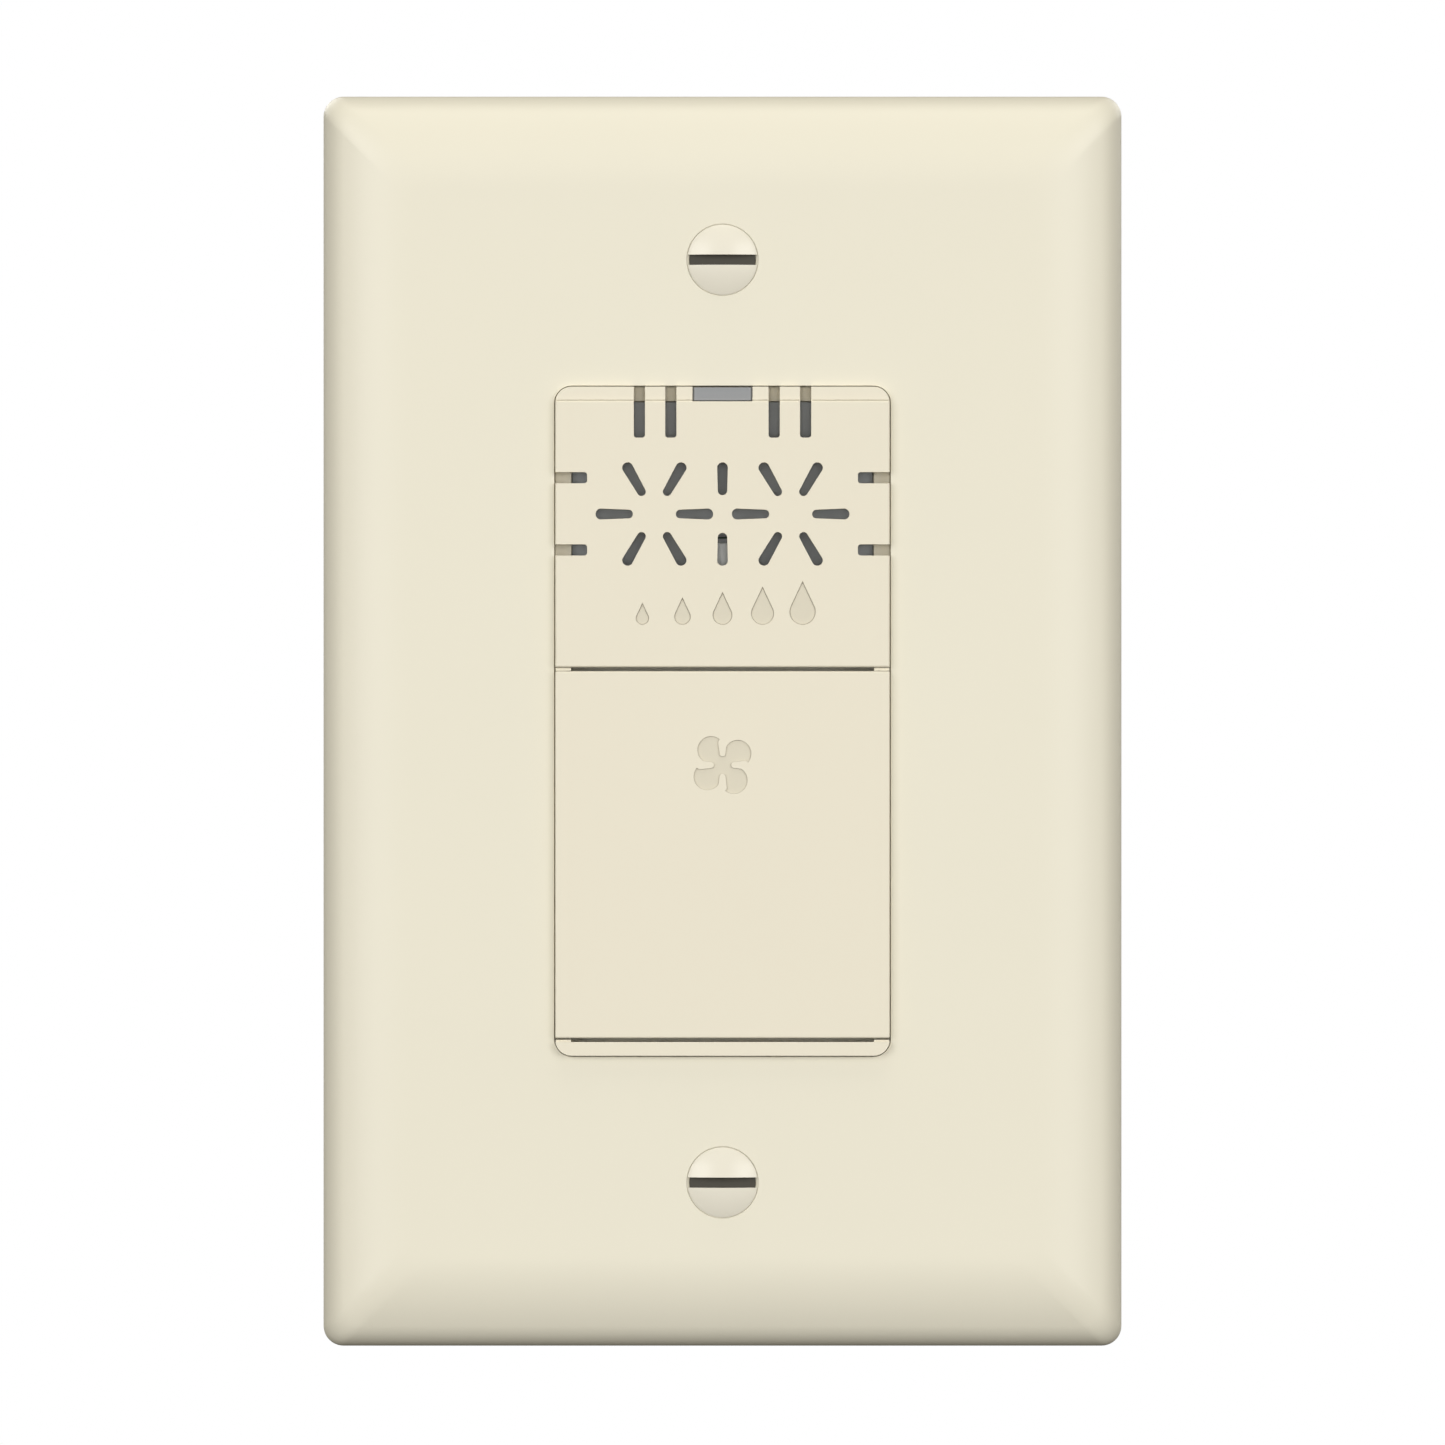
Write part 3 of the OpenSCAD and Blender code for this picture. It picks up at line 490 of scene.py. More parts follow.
# %% The finishes
ALMOND = (0.785, 0.745, 0.612)
ALMOND_FACE = (0.780, 0.728, 0.592)
plate_finish = plastic("almond_plate_plastic", ALMOND, gloss=(0.36, 0.46), drift=0.008, dust=0.05)
face_finish = plastic("almond_face_plastic", ALMOND_FACE, gloss=(0.40, 0.50), drift=0.008, dust=0.05)
# Painted shade: the engraved marks' walls are a dark almond and their floor a slightly darker almond,
# standing in for the shade in the shallow recess.
etched_wall_painted_shade = plastic("almond_etched_wall_painted_shade", (0.50, 0.46, 0.37), gloss=(0.6, 0.7), bump=0.1)
etched_floor_grain_and_shade = plastic("almond_etched_floor_grain_and_shade", (0.68, 0.632, 0.505), gloss=(0.6, 0.7),
                        grain=9000.0, bump=0.2)
paint_finish = plastic("almond_screw_paint", (0.785, 0.745, 0.63), gloss=(0.26, 0.36), drift=0.02, dust=0.1)
# Painted shadow: the floor of each screw slot is near-black, standing in for the shade deep in the slot.
slot_painted_shadow = plastic("screw_slot_painted_shadow", (0.055, 0.050, 0.038), gloss=(0.5, 0.6), drift=0.15, dust=0.0)
lens_finish = plastic("frosted_light_pipe", (0.285, 0.292, 0.298), gloss=(0.42, 0.5), drift=0.02, dust=0.02)
baffle_finish = plastic("dark_baffle_plastic", (0.43, 0.445, 0.45), gloss=(0.5, 0.62), drift=0.05)
housing_finish = plastic("black_housing_plastic", (0.030, 0.030, 0.033), gloss=(0.42, 0.56), drift=0.12,
                         grain=2600.0, bump=0.35, dust=0.25)
zinc_finish = metal("zinc_plated_steel", (0.62, 0.63, 0.64))
screw_finish = metal("bright_zinc_screws", (0.66, 0.66, 0.65), rough=(0.18, 0.32), patch=0.03)
brass_finish = metal("bare_brass", (0.72, 0.50, 0.20), rough=(0.20, 0.36), patch=0.05)
nickel_finish = metal("nickel_plate", (0.70, 0.68, 0.63), rough=(0.18, 0.3), patch=0.03)
sensor_finish = plastic("grey_sensor_cap", (0.80, 0.82, 0.82), gloss=(0.4, 0.55), drift=0.03)
fibre_finish = plastic("red_brown_fibre", (0.20, 0.085, 0.05), gloss=(0.65, 0.85), drift=0.2,
                       grain=1800.0, bump=0.6)
green_finish = metal("green_dyed_steel", (0.05, 0.28, 0.11), rough=(0.22, 0.36), patch=0.05)
spring_finish = metal("spring_steel_wire", (0.55, 0.55, 0.56), rough=(0.22, 0.34), patch=0.03)
gold_finish = metal("gold_plate", (0.85, 0.62, 0.28), rough=(0.15, 0.25), patch=0.02)
iron_finish = metal("soft_iron", (0.48, 0.47, 0.46), rough=(0.32, 0.5), patch=0.1)
label_finish = plastic("plain_label", (0.76, 0.76, 0.74), gloss=(0.45, 0.6), drift=0.02, grain=3000.0)
black_plastic = plastic("black_component_plastic", (0.022, 0.022, 0.024), gloss=(0.4, 0.55), drift=0.1,
                        grain=3200.0)
plunger_finish = plastic("black_glossy_plunger", (0.02, 0.02, 0.022), gloss=(0.2, 0.3), drift=0.05)
white_plastic = plastic("white_nylon", (0.72, 0.71, 0.68), gloss=(0.38, 0.5), drift=0.03)
dial_blue = plastic("blue_dial", (0.05, 0.14, 0.42), gloss=(0.3, 0.42), drift=0.04)
dial_white = plastic("white_dial", (0.75, 0.75, 0.73), gloss=(0.3, 0.42), drift=0.03)
relay_blue = plastic("blue_relay_case", (0.03, 0.10, 0.33), gloss=(0.2, 0.3), drift=0.05)
film_yellow = plastic("yellow_capacitor_case", (0.62, 0.45, 0.08), gloss=(0.3, 0.42), drift=0.05)
sleeve_finish = plastic("black_capacitor_sleeve", (0.018, 0.02, 0.035), gloss=(0.18, 0.28), drift=0.06)
varistor_finish = plastic("blue_epoxy", (0.03, 0.14, 0.36), gloss=(0.15, 0.3), drift=0.1,
                          grain=900.0, bump=0.5)
ferrite_finish = plastic("grey_ferrite", (0.055, 0.055, 0.06), gloss=(0.55, 0.75), drift=0.2,
                         grain=2500.0, bump=0.5)
ceramic_finish = plastic("white_ceramic", (0.70, 0.68, 0.62), gloss=(0.25, 0.4), drift=0.04)


# %% [markdown]
# A circuit board is green varnish over copper tracks. A brick pattern, stretched long and thin, gives runs
# of track that stop and start, and they show only as a slightly lighter, slightly raised green. Magnet wire
# is bare copper colour in fine parallel bands.

# %% Boards and windings
def board_material():
    material, tree, shader = new_material("green_circuit_board")
    place = add_node(tree, "ShaderNodeTexCoord").outputs["Object"]
    flat = add_node(tree, "ShaderNodeSeparateXYZ")
    tree.links.new(place, flat.inputs[0])
    both = add_node(tree, "ShaderNodeCombineXYZ")
    tree.links.new(flat.outputs["X"], both.inputs["X"])
    tree.links.new(flat.outputs["Z"], both.inputs["Y"])
    tracks = add_node(tree, "ShaderNodeTexBrick", scale=110.0, offset=0.37)
    sizes = {"Mortar Size": 0.055, "Mortar Smooth": 0.3, "Brick Width": 0.9, "Row Height": 0.16}
    for label, value in sizes.items():
        tracks.inputs[label].default_value = value
    tree.links.new(both.outputs[0], tracks.inputs["Vector"])
    tone = mix_colours(tree, tracks.outputs["Fac"], (0.012, 0.085, 0.038), (0.03, 0.17, 0.07))
    tree.links.new(tone, shader.inputs["Base Color"])
    mould = place_group(tree, MOULD)
    tree.links.new(remap(tree, mould.outputs["Grain"], 0.25, 0.4), shader.inputs["Roughness"])
    relief = add_node(tree, "ShaderNodeBump", strength=0.4, distance=0.03 * MM)
    tree.links.new(tracks.outputs["Fac"], relief.inputs["Height"])
    tree.links.new(relief.outputs["Normal"], shader.inputs["Normal"])
    return material


def winding_material():
    material, tree, shader = new_material("enamelled_copper_wire")
    place = add_node(tree, "ShaderNodeTexCoord").outputs["Object"]
    turns = add_node(tree, "ShaderNodeTexWave", scale=1500.0, distortion=0.4, bands_direction="Z")
    tree.links.new(place, turns.inputs["Vector"])
    tone = mix_colours(tree, turns.outputs["Fac"], (0.20, 0.055, 0.02), (0.62, 0.23, 0.09))
    tree.links.new(tone, shader.inputs["Base Color"])
    tree.links.new(remap(tree, turns.outputs["Fac"], 0.45, 0.28), shader.inputs["Roughness"])
    relief = add_node(tree, "ShaderNodeBump", strength=0.5, distance=0.05 * MM)
    tree.links.new(turns.outputs["Fac"], relief.inputs["Height"])
    tree.links.new(relief.outputs["Normal"], shader.inputs["Normal"])
    shader.inputs["Metallic"].default_value = 0.7
    return material


board_finish = board_material()
winding_finish = winding_material()
print("materials:", len(bpy.data.materials))

# %% [markdown]
# ## Wall plate
# A wall plate is a shallow tray with a flat front, whose margin falls away in two steps: gently at first and
# then steeply at the rim. Insetting would shrink the corners to nothing, so each ring is made by
# extruding the front face and moving its four quarters inwards, which keeps the corner radius all the way
# up and gives the soft diagonal that runs in from each corner.

# %% The margin's path
MARGIN = 9.5 * MM
LIP = 2.2 * MM
SKIN = 2.3 * MM
GENTLE = math.radians(30)
STEEP = math.radians(80)
gentle_radius = (MARGIN - LIP) / math.sin(GENTLE)
lip_radius = LIP / (math.sin(STEEP) - math.sin(GENTLE))


def margin_path(skin, lip_steps=10, gentle_steps=9):
    """Pairs of inset and depth for a surface that lies skin below the front, from the rim to the flat."""
    path = []
    lip_centre = MARGIN - (gentle_radius - lip_radius) * math.sin(GENTLE)
    lip_base = plate_front + gentle_radius - (gentle_radius - lip_radius) * math.cos(GENTLE)
    for step in range(lip_steps):
        angle = STEEP + (GENTLE - STEEP) * step / lip_steps
        radius = lip_radius - skin
        path.append((lip_centre - radius * math.sin(angle), lip_base - radius * math.cos(angle)))
    for step in range(gentle_steps + 1):
        angle = GENTLE * (1 - step / gentle_steps)
        radius = gentle_radius - skin
        path.append((MARGIN - radius * math.sin(angle),
                     plate_front + gentle_radius - radius * math.cos(angle)))
    return path


def follow(piece, path, start_inset, start_y):
    """Extrudes the selected face ring by ring along a path of insets and depths."""
    inset, y = start_inset, start_y
    for next_inset, next_y in path:
        bpy.ops.mesh.extrude_region_move(TRANSFORM_OT_translate={"value": (0, next_y - y, 0)})
        mesh = bmesh.from_edit_mesh(piece.data)
        for vert in mesh.verts:
            if vert.select:
                vert.co.x -= math.copysign(next_inset - inset, vert.co.x)
                vert.co.z -= math.copysign(next_inset - inset, vert.co.z)
        bmesh.update_edit_mesh(piece.data)
        inset, y = next_inset, next_y


# %% The tray
plate = blank("wall_plate_moulding", plate_low.x, plate_high.x, plate_low.z, plate_high.z, 0, 2.1 * MM, 12)
start_editing(plate, "ALL")
outer = margin_path(0)
follow(plate, [(0, outer[0][1])] + outer[1:], 0, 0)
stop_editing()
start_editing(plate)
pick(plate, "faces", lambda at, face: abs(at.y) < 0.01 * MM and len(face.verts) > 8)
bpy.ops.mesh.extrude_region_move(TRANSFORM_OT_translate={"value": (0, 0, 0)})
follow(plate, [(SKIN, 0)] + [p for p in margin_path(SKIN, 6, 5) if p[0] > SKIN], 0, 0)
bpy.ops.mesh.select_all(action="SELECT")
bpy.ops.mesh.remove_doubles(threshold=0.001 * MM)
bpy.ops.mesh.normals_make_consistent(inside=False)
stop_editing()
print("tray volume faces:", len(plate.data.polygons))

# %% Spin a profile
def lathe(name, profile, x=0.0, z=0.0, steps=48):
    """Spins pairs of radius and depth about an axis along Y. Both ends of the profile lie on the axis."""
    mesh = bpy.data.meshes.new(name)
    mesh.from_pydata([(r, y, 0) for r, y in profile], [(i, i + 1) for i in range(len(profile) - 1)], [])
    piece = bpy.data.objects.new(name, mesh)
    bpy.context.scene.collection.objects.link(piece)
    start_editing(piece, "ALL")
    bpy.ops.mesh.spin(steps=steps, angle=2 * math.pi, center=(0, 0, 0), axis=(0, 1, 0))
    bpy.ops.mesh.select_all(action="SELECT")
    bpy.ops.mesh.remove_doubles(threshold=0.0005 * MM)
    bpy.ops.mesh.normals_make_consistent(inside=False)
    stop_editing()
    piece.data.transform(Matrix.Translation((x, 0, z)))
    return piece


def dome_points(radius, height, top_y, count=7):
    """Points from the middle of a low dome to its rim."""
    ball = (radius ** 2 + height ** 2) / (2 * height)
    reach = math.asin(radius / ball)
    return [(ball * math.sin(reach * i / count), top_y + ball * (1 - math.cos(reach * i / count)))
            for i in range(count + 1)]


# %% [markdown]
# The opening is cut with a rounded block, and each screw hole with a rod and a cone for the countersink.
# The bosses behind the holes are joined on first, so that one cut goes through both.

# %% The opening, the bosses and the screw holes
PLATE_GAP = 0.10 * MM
HEAD_R = 3.7 * MM
SCREW_Z = (plate_screw_high.z - plate_screw_low.z) / 2 - HEAD_R
HEAD_SLOPE = 0.87
for side in (-1, 1):
    boss = rod("boss", 3.1 * MM, plate_front + SKIN - 0.2 * MM, yoke_front, z=side * SCREW_Z)
    combine(plate, boss, "UNION")
opening = blank("opening", -face_half - PLATE_GAP, face_half + PLATE_GAP, -face_top - PLATE_GAP,
                face_top + PLATE_GAP, plate_front - MM, 1.85 * MM, 10)
combine(plate, pull_back(opening, 8 * MM))
for side in (-1, 1):
    wide = HEAD_R + 0.12 * MM
    hole = lathe("hole", [(0, plate_front - MM), (wide + HEAD_SLOPE * MM, plate_front - MM),
                          (2.05 * MM, plate_front + (wide - 2.05 * MM) / HEAD_SLOPE),
                          (2.05 * MM, 0.5 * MM), (0, 0.5 * MM)], z=side * SCREW_Z, steps=60)
    combine(plate, hole)
round_edges(plate, lambda at: close_to(at.y, plate_front) and abs(at.x) < face_half + MM and
            abs(at.z) < face_top + MM, 0.08 * MM)
soften(plate, 0.08 * MM, 3)
finish_piece(plate, plate_finish, "switch", "ivory_plate", "wall_plate")

# %% [markdown]
# ## Wall plate screws
# An oval-head screw is a shallow dome on a cone, with one slot sawn straight across. The head is painted,
# and the floor of the slot is painted near-black as the shadow that falls deep in it. The dome is a profile
# spun about the screw's axis, which keeps its rim crisp.

# %% The two screws
def thread_points(radius, pitch, depth, y0, y1):
    """A zigzag down the side of a screw."""
    turns = int((y1 - y0) / pitch)
    points = []
    for turn in range(turns):
        points += [(radius, y0 + (turn + 0.35) * pitch), (radius, y0 + (turn + 0.5) * pitch),
                   (radius - depth, y0 + (turn + 0.85) * pitch), (radius - depth, y0 + (turn + 1) * pitch)]
    return points


def slot_painter(piece, bottom_y, material):
    """Gives the faces at the bottom of a cut the second material, which paints in the shadow at the bottom of
    the slot.
    """
    piece.data.materials.append(material)
    for face in piece.data.polygons:
        if face.center.y > bottom_y - 0.02 * MM and face.center.y < bottom_y + 0.02 * MM:
            face.material_index = 1


THREAD_R, PITCH = 1.75 * MM, 0.79 * MM
CROWN = 0.9 * MM
SLOT_HALF = 0.54 * MM
SLOT_DEPTH = 1.15 * MM
for side, word in ((1, "upper"), (-1, "lower")):
    cone_foot = plate_front + (HEAD_R - THREAD_R) / HEAD_SLOPE
    profile = dome_points(HEAD_R - 0.08 * MM, CROWN - 0.06 * MM, plate_front - CROWN)
    profile += [(HEAD_R, plate_front + 0.02 * MM), (THREAD_R, cone_foot)]
    profile += thread_points(THREAD_R, PITCH, 0.32 * MM, cone_foot + 0.3 * MM, plate_screw_high.y - 0.4 * MM)
    profile += [(1.2 * MM, plate_screw_high.y), (0, plate_screw_high.y)]
    screw = lathe(f"plate_screw_{word}", profile, z=side * SCREW_Z)
    groove = block("groove", (-5 * MM, plate_front - 3 * MM, side * SCREW_Z - SLOT_HALF),
                   (5 * MM, plate_front - CROWN + SLOT_DEPTH, side * SCREW_Z + SLOT_HALF))
    combine(screw, groove)
    soften(screw, 0.06 * MM, 2, 40)
    finish_piece(screw, paint_finish, "switch", "ivory_screw_paint", "wall_plate_screws")
    # The floor of the slot gets its painted shadow.
    slot_painter(screw, plate_front - CROWN + SLOT_DEPTH, slot_painted_shadow)

# %% [markdown]
# ## Vent cover
# The cover is a tray standing on the frame's rails. It starts as a solid block with two round corners, and is
# hollowed out, stepped along its top edge, and then cut by every slot. The slots of each star are one
# tapered slot, copied and turned by sixty degrees.

# %% The tray of the cover
SHELL = 1.6 * MM
RAIL = 1.65 * MM
STEP = 0.35 * MM
rail_y = cover_low.y + 3.2 * MM
rail_z = face_top - 1.45 * MM
cover = blank("vent_cover_moulding", cover_low.x, cover_high.x, cover_low.z, cover_high.z, face_y,
              1.7 * MM, 10, only_top=True)
pull_back(cover, rail_y - face_y)
combine(cover, block("hollow", (-face_half + RAIL, face_y + SHELL, cover_low.z + RAIL),
                     (face_half - RAIL, rail_y + MM, rail_z)))
combine(cover, block("step", (-20 * MM, face_y - MM, rail_z), (20 * MM, face_y + STEP, face_top + MM)))
round_edges(cover, lambda at: close_to(at.y, face_y), 0.22 * MM)
round_edges(cover, lambda at: close_to(at.y, face_y + STEP) and at.z > rail_z + 0.3 * MM, 0.2 * MM, 3)
weld(cover)
combine(cover, block("shut_line", (-20 * MM, face_y + STEP - 0.12 * MM, rail_z - 0.05 * MM),
                     (20 * MM, face_y + STEP + 0.45 * MM, rail_z + 0.07 * MM)))
weld(cover)


# %% One tapered slot
def tapered_slot(name, centre_x, centre_z, inner, outer, inner_r, outer_r):
    """A round-ended slot that runs up from its centre, pulled out of a circle and deepened to a cutter."""
    bpy.ops.object.select_all(action="DESELECT")
    bpy.ops.mesh.primitive_circle_add(vertices=32, radius=inner_r, fill_type="NGON",
                                      location=(0, 0, 0), rotation=(math.pi / 2, 0, math.pi / 32))
    piece = bpy.context.object
    piece.name = name
    bpy.ops.object.transform_apply()
    start_editing(piece)
    pick(piece, "verts", lambda at, _: at.z > 0)
    bpy.ops.transform.resize(value=(outer_r / inner_r, 1, outer_r / inner_r), center_override=(0, 0, 0))
    bpy.ops.transform.translate(value=(0, 0, outer - inner))
    stop_editing()
    piece.data.transform(Matrix.Translation((centre_x, face_y - MM, centre_z + inner)))
    return pull_back(piece, 5 * MM)


# %% All the slots
STAR_Z = 21.73 * MM
STAR_X = 7.15 * MM
cutters = []
for side in (-1, 1):
    ray = tapered_slot("ray", side * STAR_X, STAR_Z, 2.71 * MM, 5.58 * MM, 0.46 * MM, 0.59 * MM)
    for sixth in range(6):
        turn = math.radians(30 + 60 * sixth)
        cutters.append(turned_copy(ray, "ray_copy", turn, (side * STAR_X, STAR_Z)))
    bpy.data.objects.remove(ray)
for turn in (0, math.pi):
    ray = tapered_slot("ray", 0, STAR_Z, 2.47 * MM, 4.85 * MM, 0.5 * MM, 0.57 * MM)
    cutters.append(turned_copy(ray, "ray_copy", turn, (0, STAR_Z)))
    bpy.data.objects.remove(ray)
SLOT_HALF_W = 0.59 * MM
for x in (-8.72 * MM, -5.42 * MM, 5.42 * MM, 8.72 * MM):
    strip = blank("top_slot", x - SLOT_HALF_W, x + SLOT_HALF_W, 29.74 * MM, 38 * MM, face_y - MM, 0.3 * MM, 4)
    cutters.append(pull_back(strip, 5 * MM))
for z in (25.54 * MM, 17.96 * MM):
    for side in (-1, 1):
        ends = sorted((side * 14.2 * MM, side * 20 * MM))
        strip = blank("side_slot", *ends, z - SLOT_HALF_W, z + SLOT_HALF_W, face_y - MM, 0.3 * MM, 4)
        cutters.append(pull_back(strip, 5 * MM))
lens_cut = 0.05 * MM
cutters.append(block("lens_notch", (lens_low.x - lens_cut, face_y - MM, rail_z - 0.1 * MM),
                     (lens_high.x + lens_cut, rail_y + MM, face_top + MM)))
for cutter in cutters:
    combine(cover, cutter)
print("slots cut:", len(cutters))


# %% [markdown]
# Under the slots runs a small engraved mark: five water drops that grow from left to right. A drop is a
# circle whose topmost point is drawn up while its shoulders are dissolved. Its sides slope, because a mould
# has to let go of the part and because a sloping wall is what catches the light. Once the face is done, four
# snap legs are added at the back: each ends in a small hook that catches behind the frame.

# %% The engraved drops
MARK = 0.18 * MM
SLOPE = 0.10 * MM


def drop(name, x, z, radius, flare):
    """A solid drop from the room to the floor of the mark, its outline flared from the floor to the face."""
    bpy.ops.object.select_all(action="DESELECT")
    bpy.ops.mesh.primitive_circle_add(vertices=48, radius=radius, fill_type="NGON",
                                      location=(0, 0, 0), rotation=(math.pi / 2, 0, 0))
    piece = bpy.context.object
    piece.name = name
    bpy.ops.object.transform_apply()
    tip = 2.35
    start_editing(piece)
    pick(piece, "verts", lambda at, _: radius / tip * 1.02 < at.z < 0.999 * radius)
    bpy.ops.mesh.dissolve_verts()
    pick(piece, "verts", lambda at, _: at.z > 0.999 * radius)
    bpy.ops.transform.translate(value=(0, 0, (tip - 1) * radius))
    stop_editing()
    pull_back(piece, 2 * MARK)
    start_editing(piece)
    pick(piece, "verts", lambda at, _: at.y > MARK)
    scale = 1 - 2 * flare / radius
    bpy.ops.transform.resize(value=(scale, 1, scale), center_override=(0, 2 * MARK, 0))
    stop_editing()
    piece.data.transform(Matrix.Translation((x, face_y - MARK, z)))
    return piece


soften(cover, 0.08 * MM, 2, 40)
LEG_Z = (10.5 * MM, STAR_Z)
LEG_HALF = 1.5 * MM
LEG_END = -0.5 * MM
for count in range(5):
    size = (0.80 + 0.17 * count) * MM
    place = ((count - 2) * 4.2 * MM, 10 * MM + size)
    combine(cover, drop("drop", *place, size, SLOPE))
for side in (-1, 1):
    for z in LEG_Z:
        leg_x = sorted((side * 14.9 * MM, side * 15.7 * MM))
        hook_x = sorted((side * 14.25 * MM, side * 15 * MM))
        low, high = z - LEG_HALF, z + LEG_HALF
        leg = block("leg", (leg_x[0], face_y + SHELL - 0.1 * MM, low), (leg_x[1], LEG_END, high))
        hook = block("hook", (hook_x[0], LEG_END - 0.7 * MM, low), (hook_x[1], LEG_END, high))
        combine(leg, hook, "UNION")
        combine(cover, leg, "UNION")
settle_normals(cover)
finish_piece(cover, face_finish, "switch", "ivory_face", "vent_cover")
# The drops' floor and walls get their painted shade.
etch_mark(cover, lambda at: 9.5 * MM < at.z < 15 * MM and abs(at.x) < 11 * MM)
print("drops engraved and legs added, faces:", len(cover.data.polygons))

# %% [markdown]
# ## Push button
# The button is the large lower plate. Its outline is a plain rectangle whose long sides line up with the
# cover, and it has a short rim behind. The fan mark is a shallow recess: four round blades on a square
# hub, with round-ended notches between them, built as one cutter.

# %% The button and its rim
button = blank("button_moulding", -face_half, face_half, button_low.z, button_high.z, face_y, 0.15 * MM, 2)
pull_back(button, 1.96 * MM)
round_edges(button, lambda at: close_to(at.y, face_y), 0.22 * MM)
combine(button, block("hollow", (-face_half + RAIL, face_y + SHELL, button_low.z + 1.5 * MM),
                      (face_half - RAIL, face_y + 4 * MM, button_high.z - 1.5 * MM)))


# %% The fan mark
def fan_cutter(z, depth):
    turn = math.radians(37)
    reach = 2.0 * MM
    hub = rod("fan_hub", reach, face_y - MM, face_y + depth, sides=4)
    hub.data.transform(Matrix.Rotation(-turn, 4, "Y"))
    for quarter in range(4):
        angle = turn + quarter * math.pi / 2
        blade = rod("blade", 1.4 * MM, face_y - MM, face_y + depth,
                    reach * math.cos(angle), reach * math.sin(angle), 64)
        combine(hub, blade, "UNION")
    notch = tapered_slot("notch", 0, 0, 1.22 * MM, 2.3 * MM, 0.34 * MM, 0.5 * MM)
    notch.data.transform(Matrix.Translation((0, -0.5 * MM, 0)))
    for quarter in range(4):
        combine(hub, turned_copy(notch, "notch_copy", quarter * math.pi / 2))
    bpy.data.objects.remove(notch)
    start_editing(hub, "ALL")
    bpy.ops.mesh.remove_doubles(threshold=0.004 * MM)
    stop_editing()
    hub.data.transform(Matrix.Translation((0, 0, z)))
    return hub


FAN_Z = -4.6 * MM
FAN_REACH = 4 * MM
soften(button, 0.08 * MM, 2, 40)
weld(button)
combine(button, fan_cutter(FAN_Z, MARK))
fan_centre = Vector((0, face_y, FAN_Z))
round_edges(button, lambda at: (at - fan_centre).length < FAN_REACH and close_to(at.y, face_y), 0.08 * MM, 1)
print("fan mark cut, faces:", len(button.data.polygons))

# %% [markdown]
# Nobody sees the back of the button, but it is what makes it work: an ear with a stub pivot on each side, a
# blunt boss that reaches for the switch, and two shallow cups that hold the springs. Each one is a rod or a
# block merged into the plate.

# %% The back of the button
PIVOT_Y, PIVOT_Z = -4.3 * MM, 2.5 * MM
SPRING_X, SPRING_Z = 9 * MM, -27 * MM
face_back = face_y + SHELL


def cross_rod(name, radius, x0, x1):
    """A round solid along X through the button's pivot axis."""
    piece = rod(name, radius, 0, x1 - x0, sides=32)
    piece.data.transform(Matrix.Translation((x0, PIVOT_Y, PIVOT_Z)) @ Matrix.Rotation(-math.pi / 2, 4, "Z"))
    return piece


EAR_R = 1.4 * MM
BOSS_Z = -17 * MM
joint = face_back - 0.1 * MM
for side in (-1, 1):
    ear_x0, ear_x1 = sorted((side * 11.65 * MM, side * 13.05 * MM))
    pin_x0, pin_x1 = sorted((side * 12.9 * MM, side * 14.7 * MM))
    ear = block("ear", (ear_x0, joint, PIVOT_Z - EAR_R), (ear_x1, PIVOT_Y, PIVOT_Z + EAR_R))
    combine(ear, cross_rod("ear_end", EAR_R - 0.01 * MM, ear_x0, ear_x1), "UNION")
    combine(ear, cross_rod("stub_pivot", 0.8 * MM, pin_x0, pin_x1), "UNION")
    combine(button, ear, "UNION")
    cup = rod("cup", 3 * MM, joint, face_back + 0.9 * MM, side * SPRING_X, SPRING_Z, 48)
    combine(cup, rod("cup_hole", 2.2 * MM, face_back, face_back + 2 * MM, side * SPRING_X, SPRING_Z, 48))
    combine(button, cup, "UNION")
combine(button, rod("boss", 1.5 * MM, joint, -3.42 * MM, 0, BOSS_Z, 32, end_radius=1.1 * MM), "UNION")
settle_normals(button)
finish_piece(button, face_finish, "button", "ivory_face", "push_button")
# The fan mark's floor and walls get their painted shade.
etch_mark(button, lambda at: abs(at.z - FAN_Z) < FAN_REACH and abs(at.x) < FAN_REACH)

# %% [markdown]
# ## Light pipe
# The indicator is the end of a frosted light pipe that fills a notch in the cover's top edge. It is set just
# below the step, with thin bevels down its two sides.

# %% The light pipe
lens = block("light_pipe", (lens_low.x, lens_low.y, rail_z), (lens_high.x, rail_y, lens_high.z))
start_editing(lens)
pick(lens, "edges", lambda at, edge: abs(at.y - lens_low.y) < 0.01 * MM
     and abs(abs(at.x) - lens_high.x) < 0.01 * MM)
bpy.ops.mesh.bevel(offset=0.35 * MM, segments=2, affect="EDGES")
stop_editing()
STEM_HALF = 2.4 * MM
STEM_FOOT = 27.3 * MM
stem = block("stem", (-STEM_HALF, face_y + SHELL + 0.05 * MM, STEM_FOOT), (STEM_HALF, rail_y, rail_z))
foot = block("foot", (-STEM_HALF, rail_y - 0.4 * MM, STEM_FOOT), (STEM_HALF, -0.1 * MM, 28.5 * MM))
combine(lens, stem, "UNION")
combine(lens, foot, "UNION")
soften(lens, 0.04 * MM, 2, 50)
finish_piece(lens, lens_finish, "switch", "lens", "indicator_lens")

# %% [markdown]
# ## Front frame, baffle and sensor
# The frame is the moulding that everything at the front clips into. Its bottom strip and its rails are seen
# in the gaps, and four small ribs close the ends of those gaps. Behind the slots a dark baffle hides the
# boards, and a pale sensor looks out through the middle of it. Their shapes are right already, so they are
# refined copies. The ribs stop short of the button, which swings down a little as it is pressed.

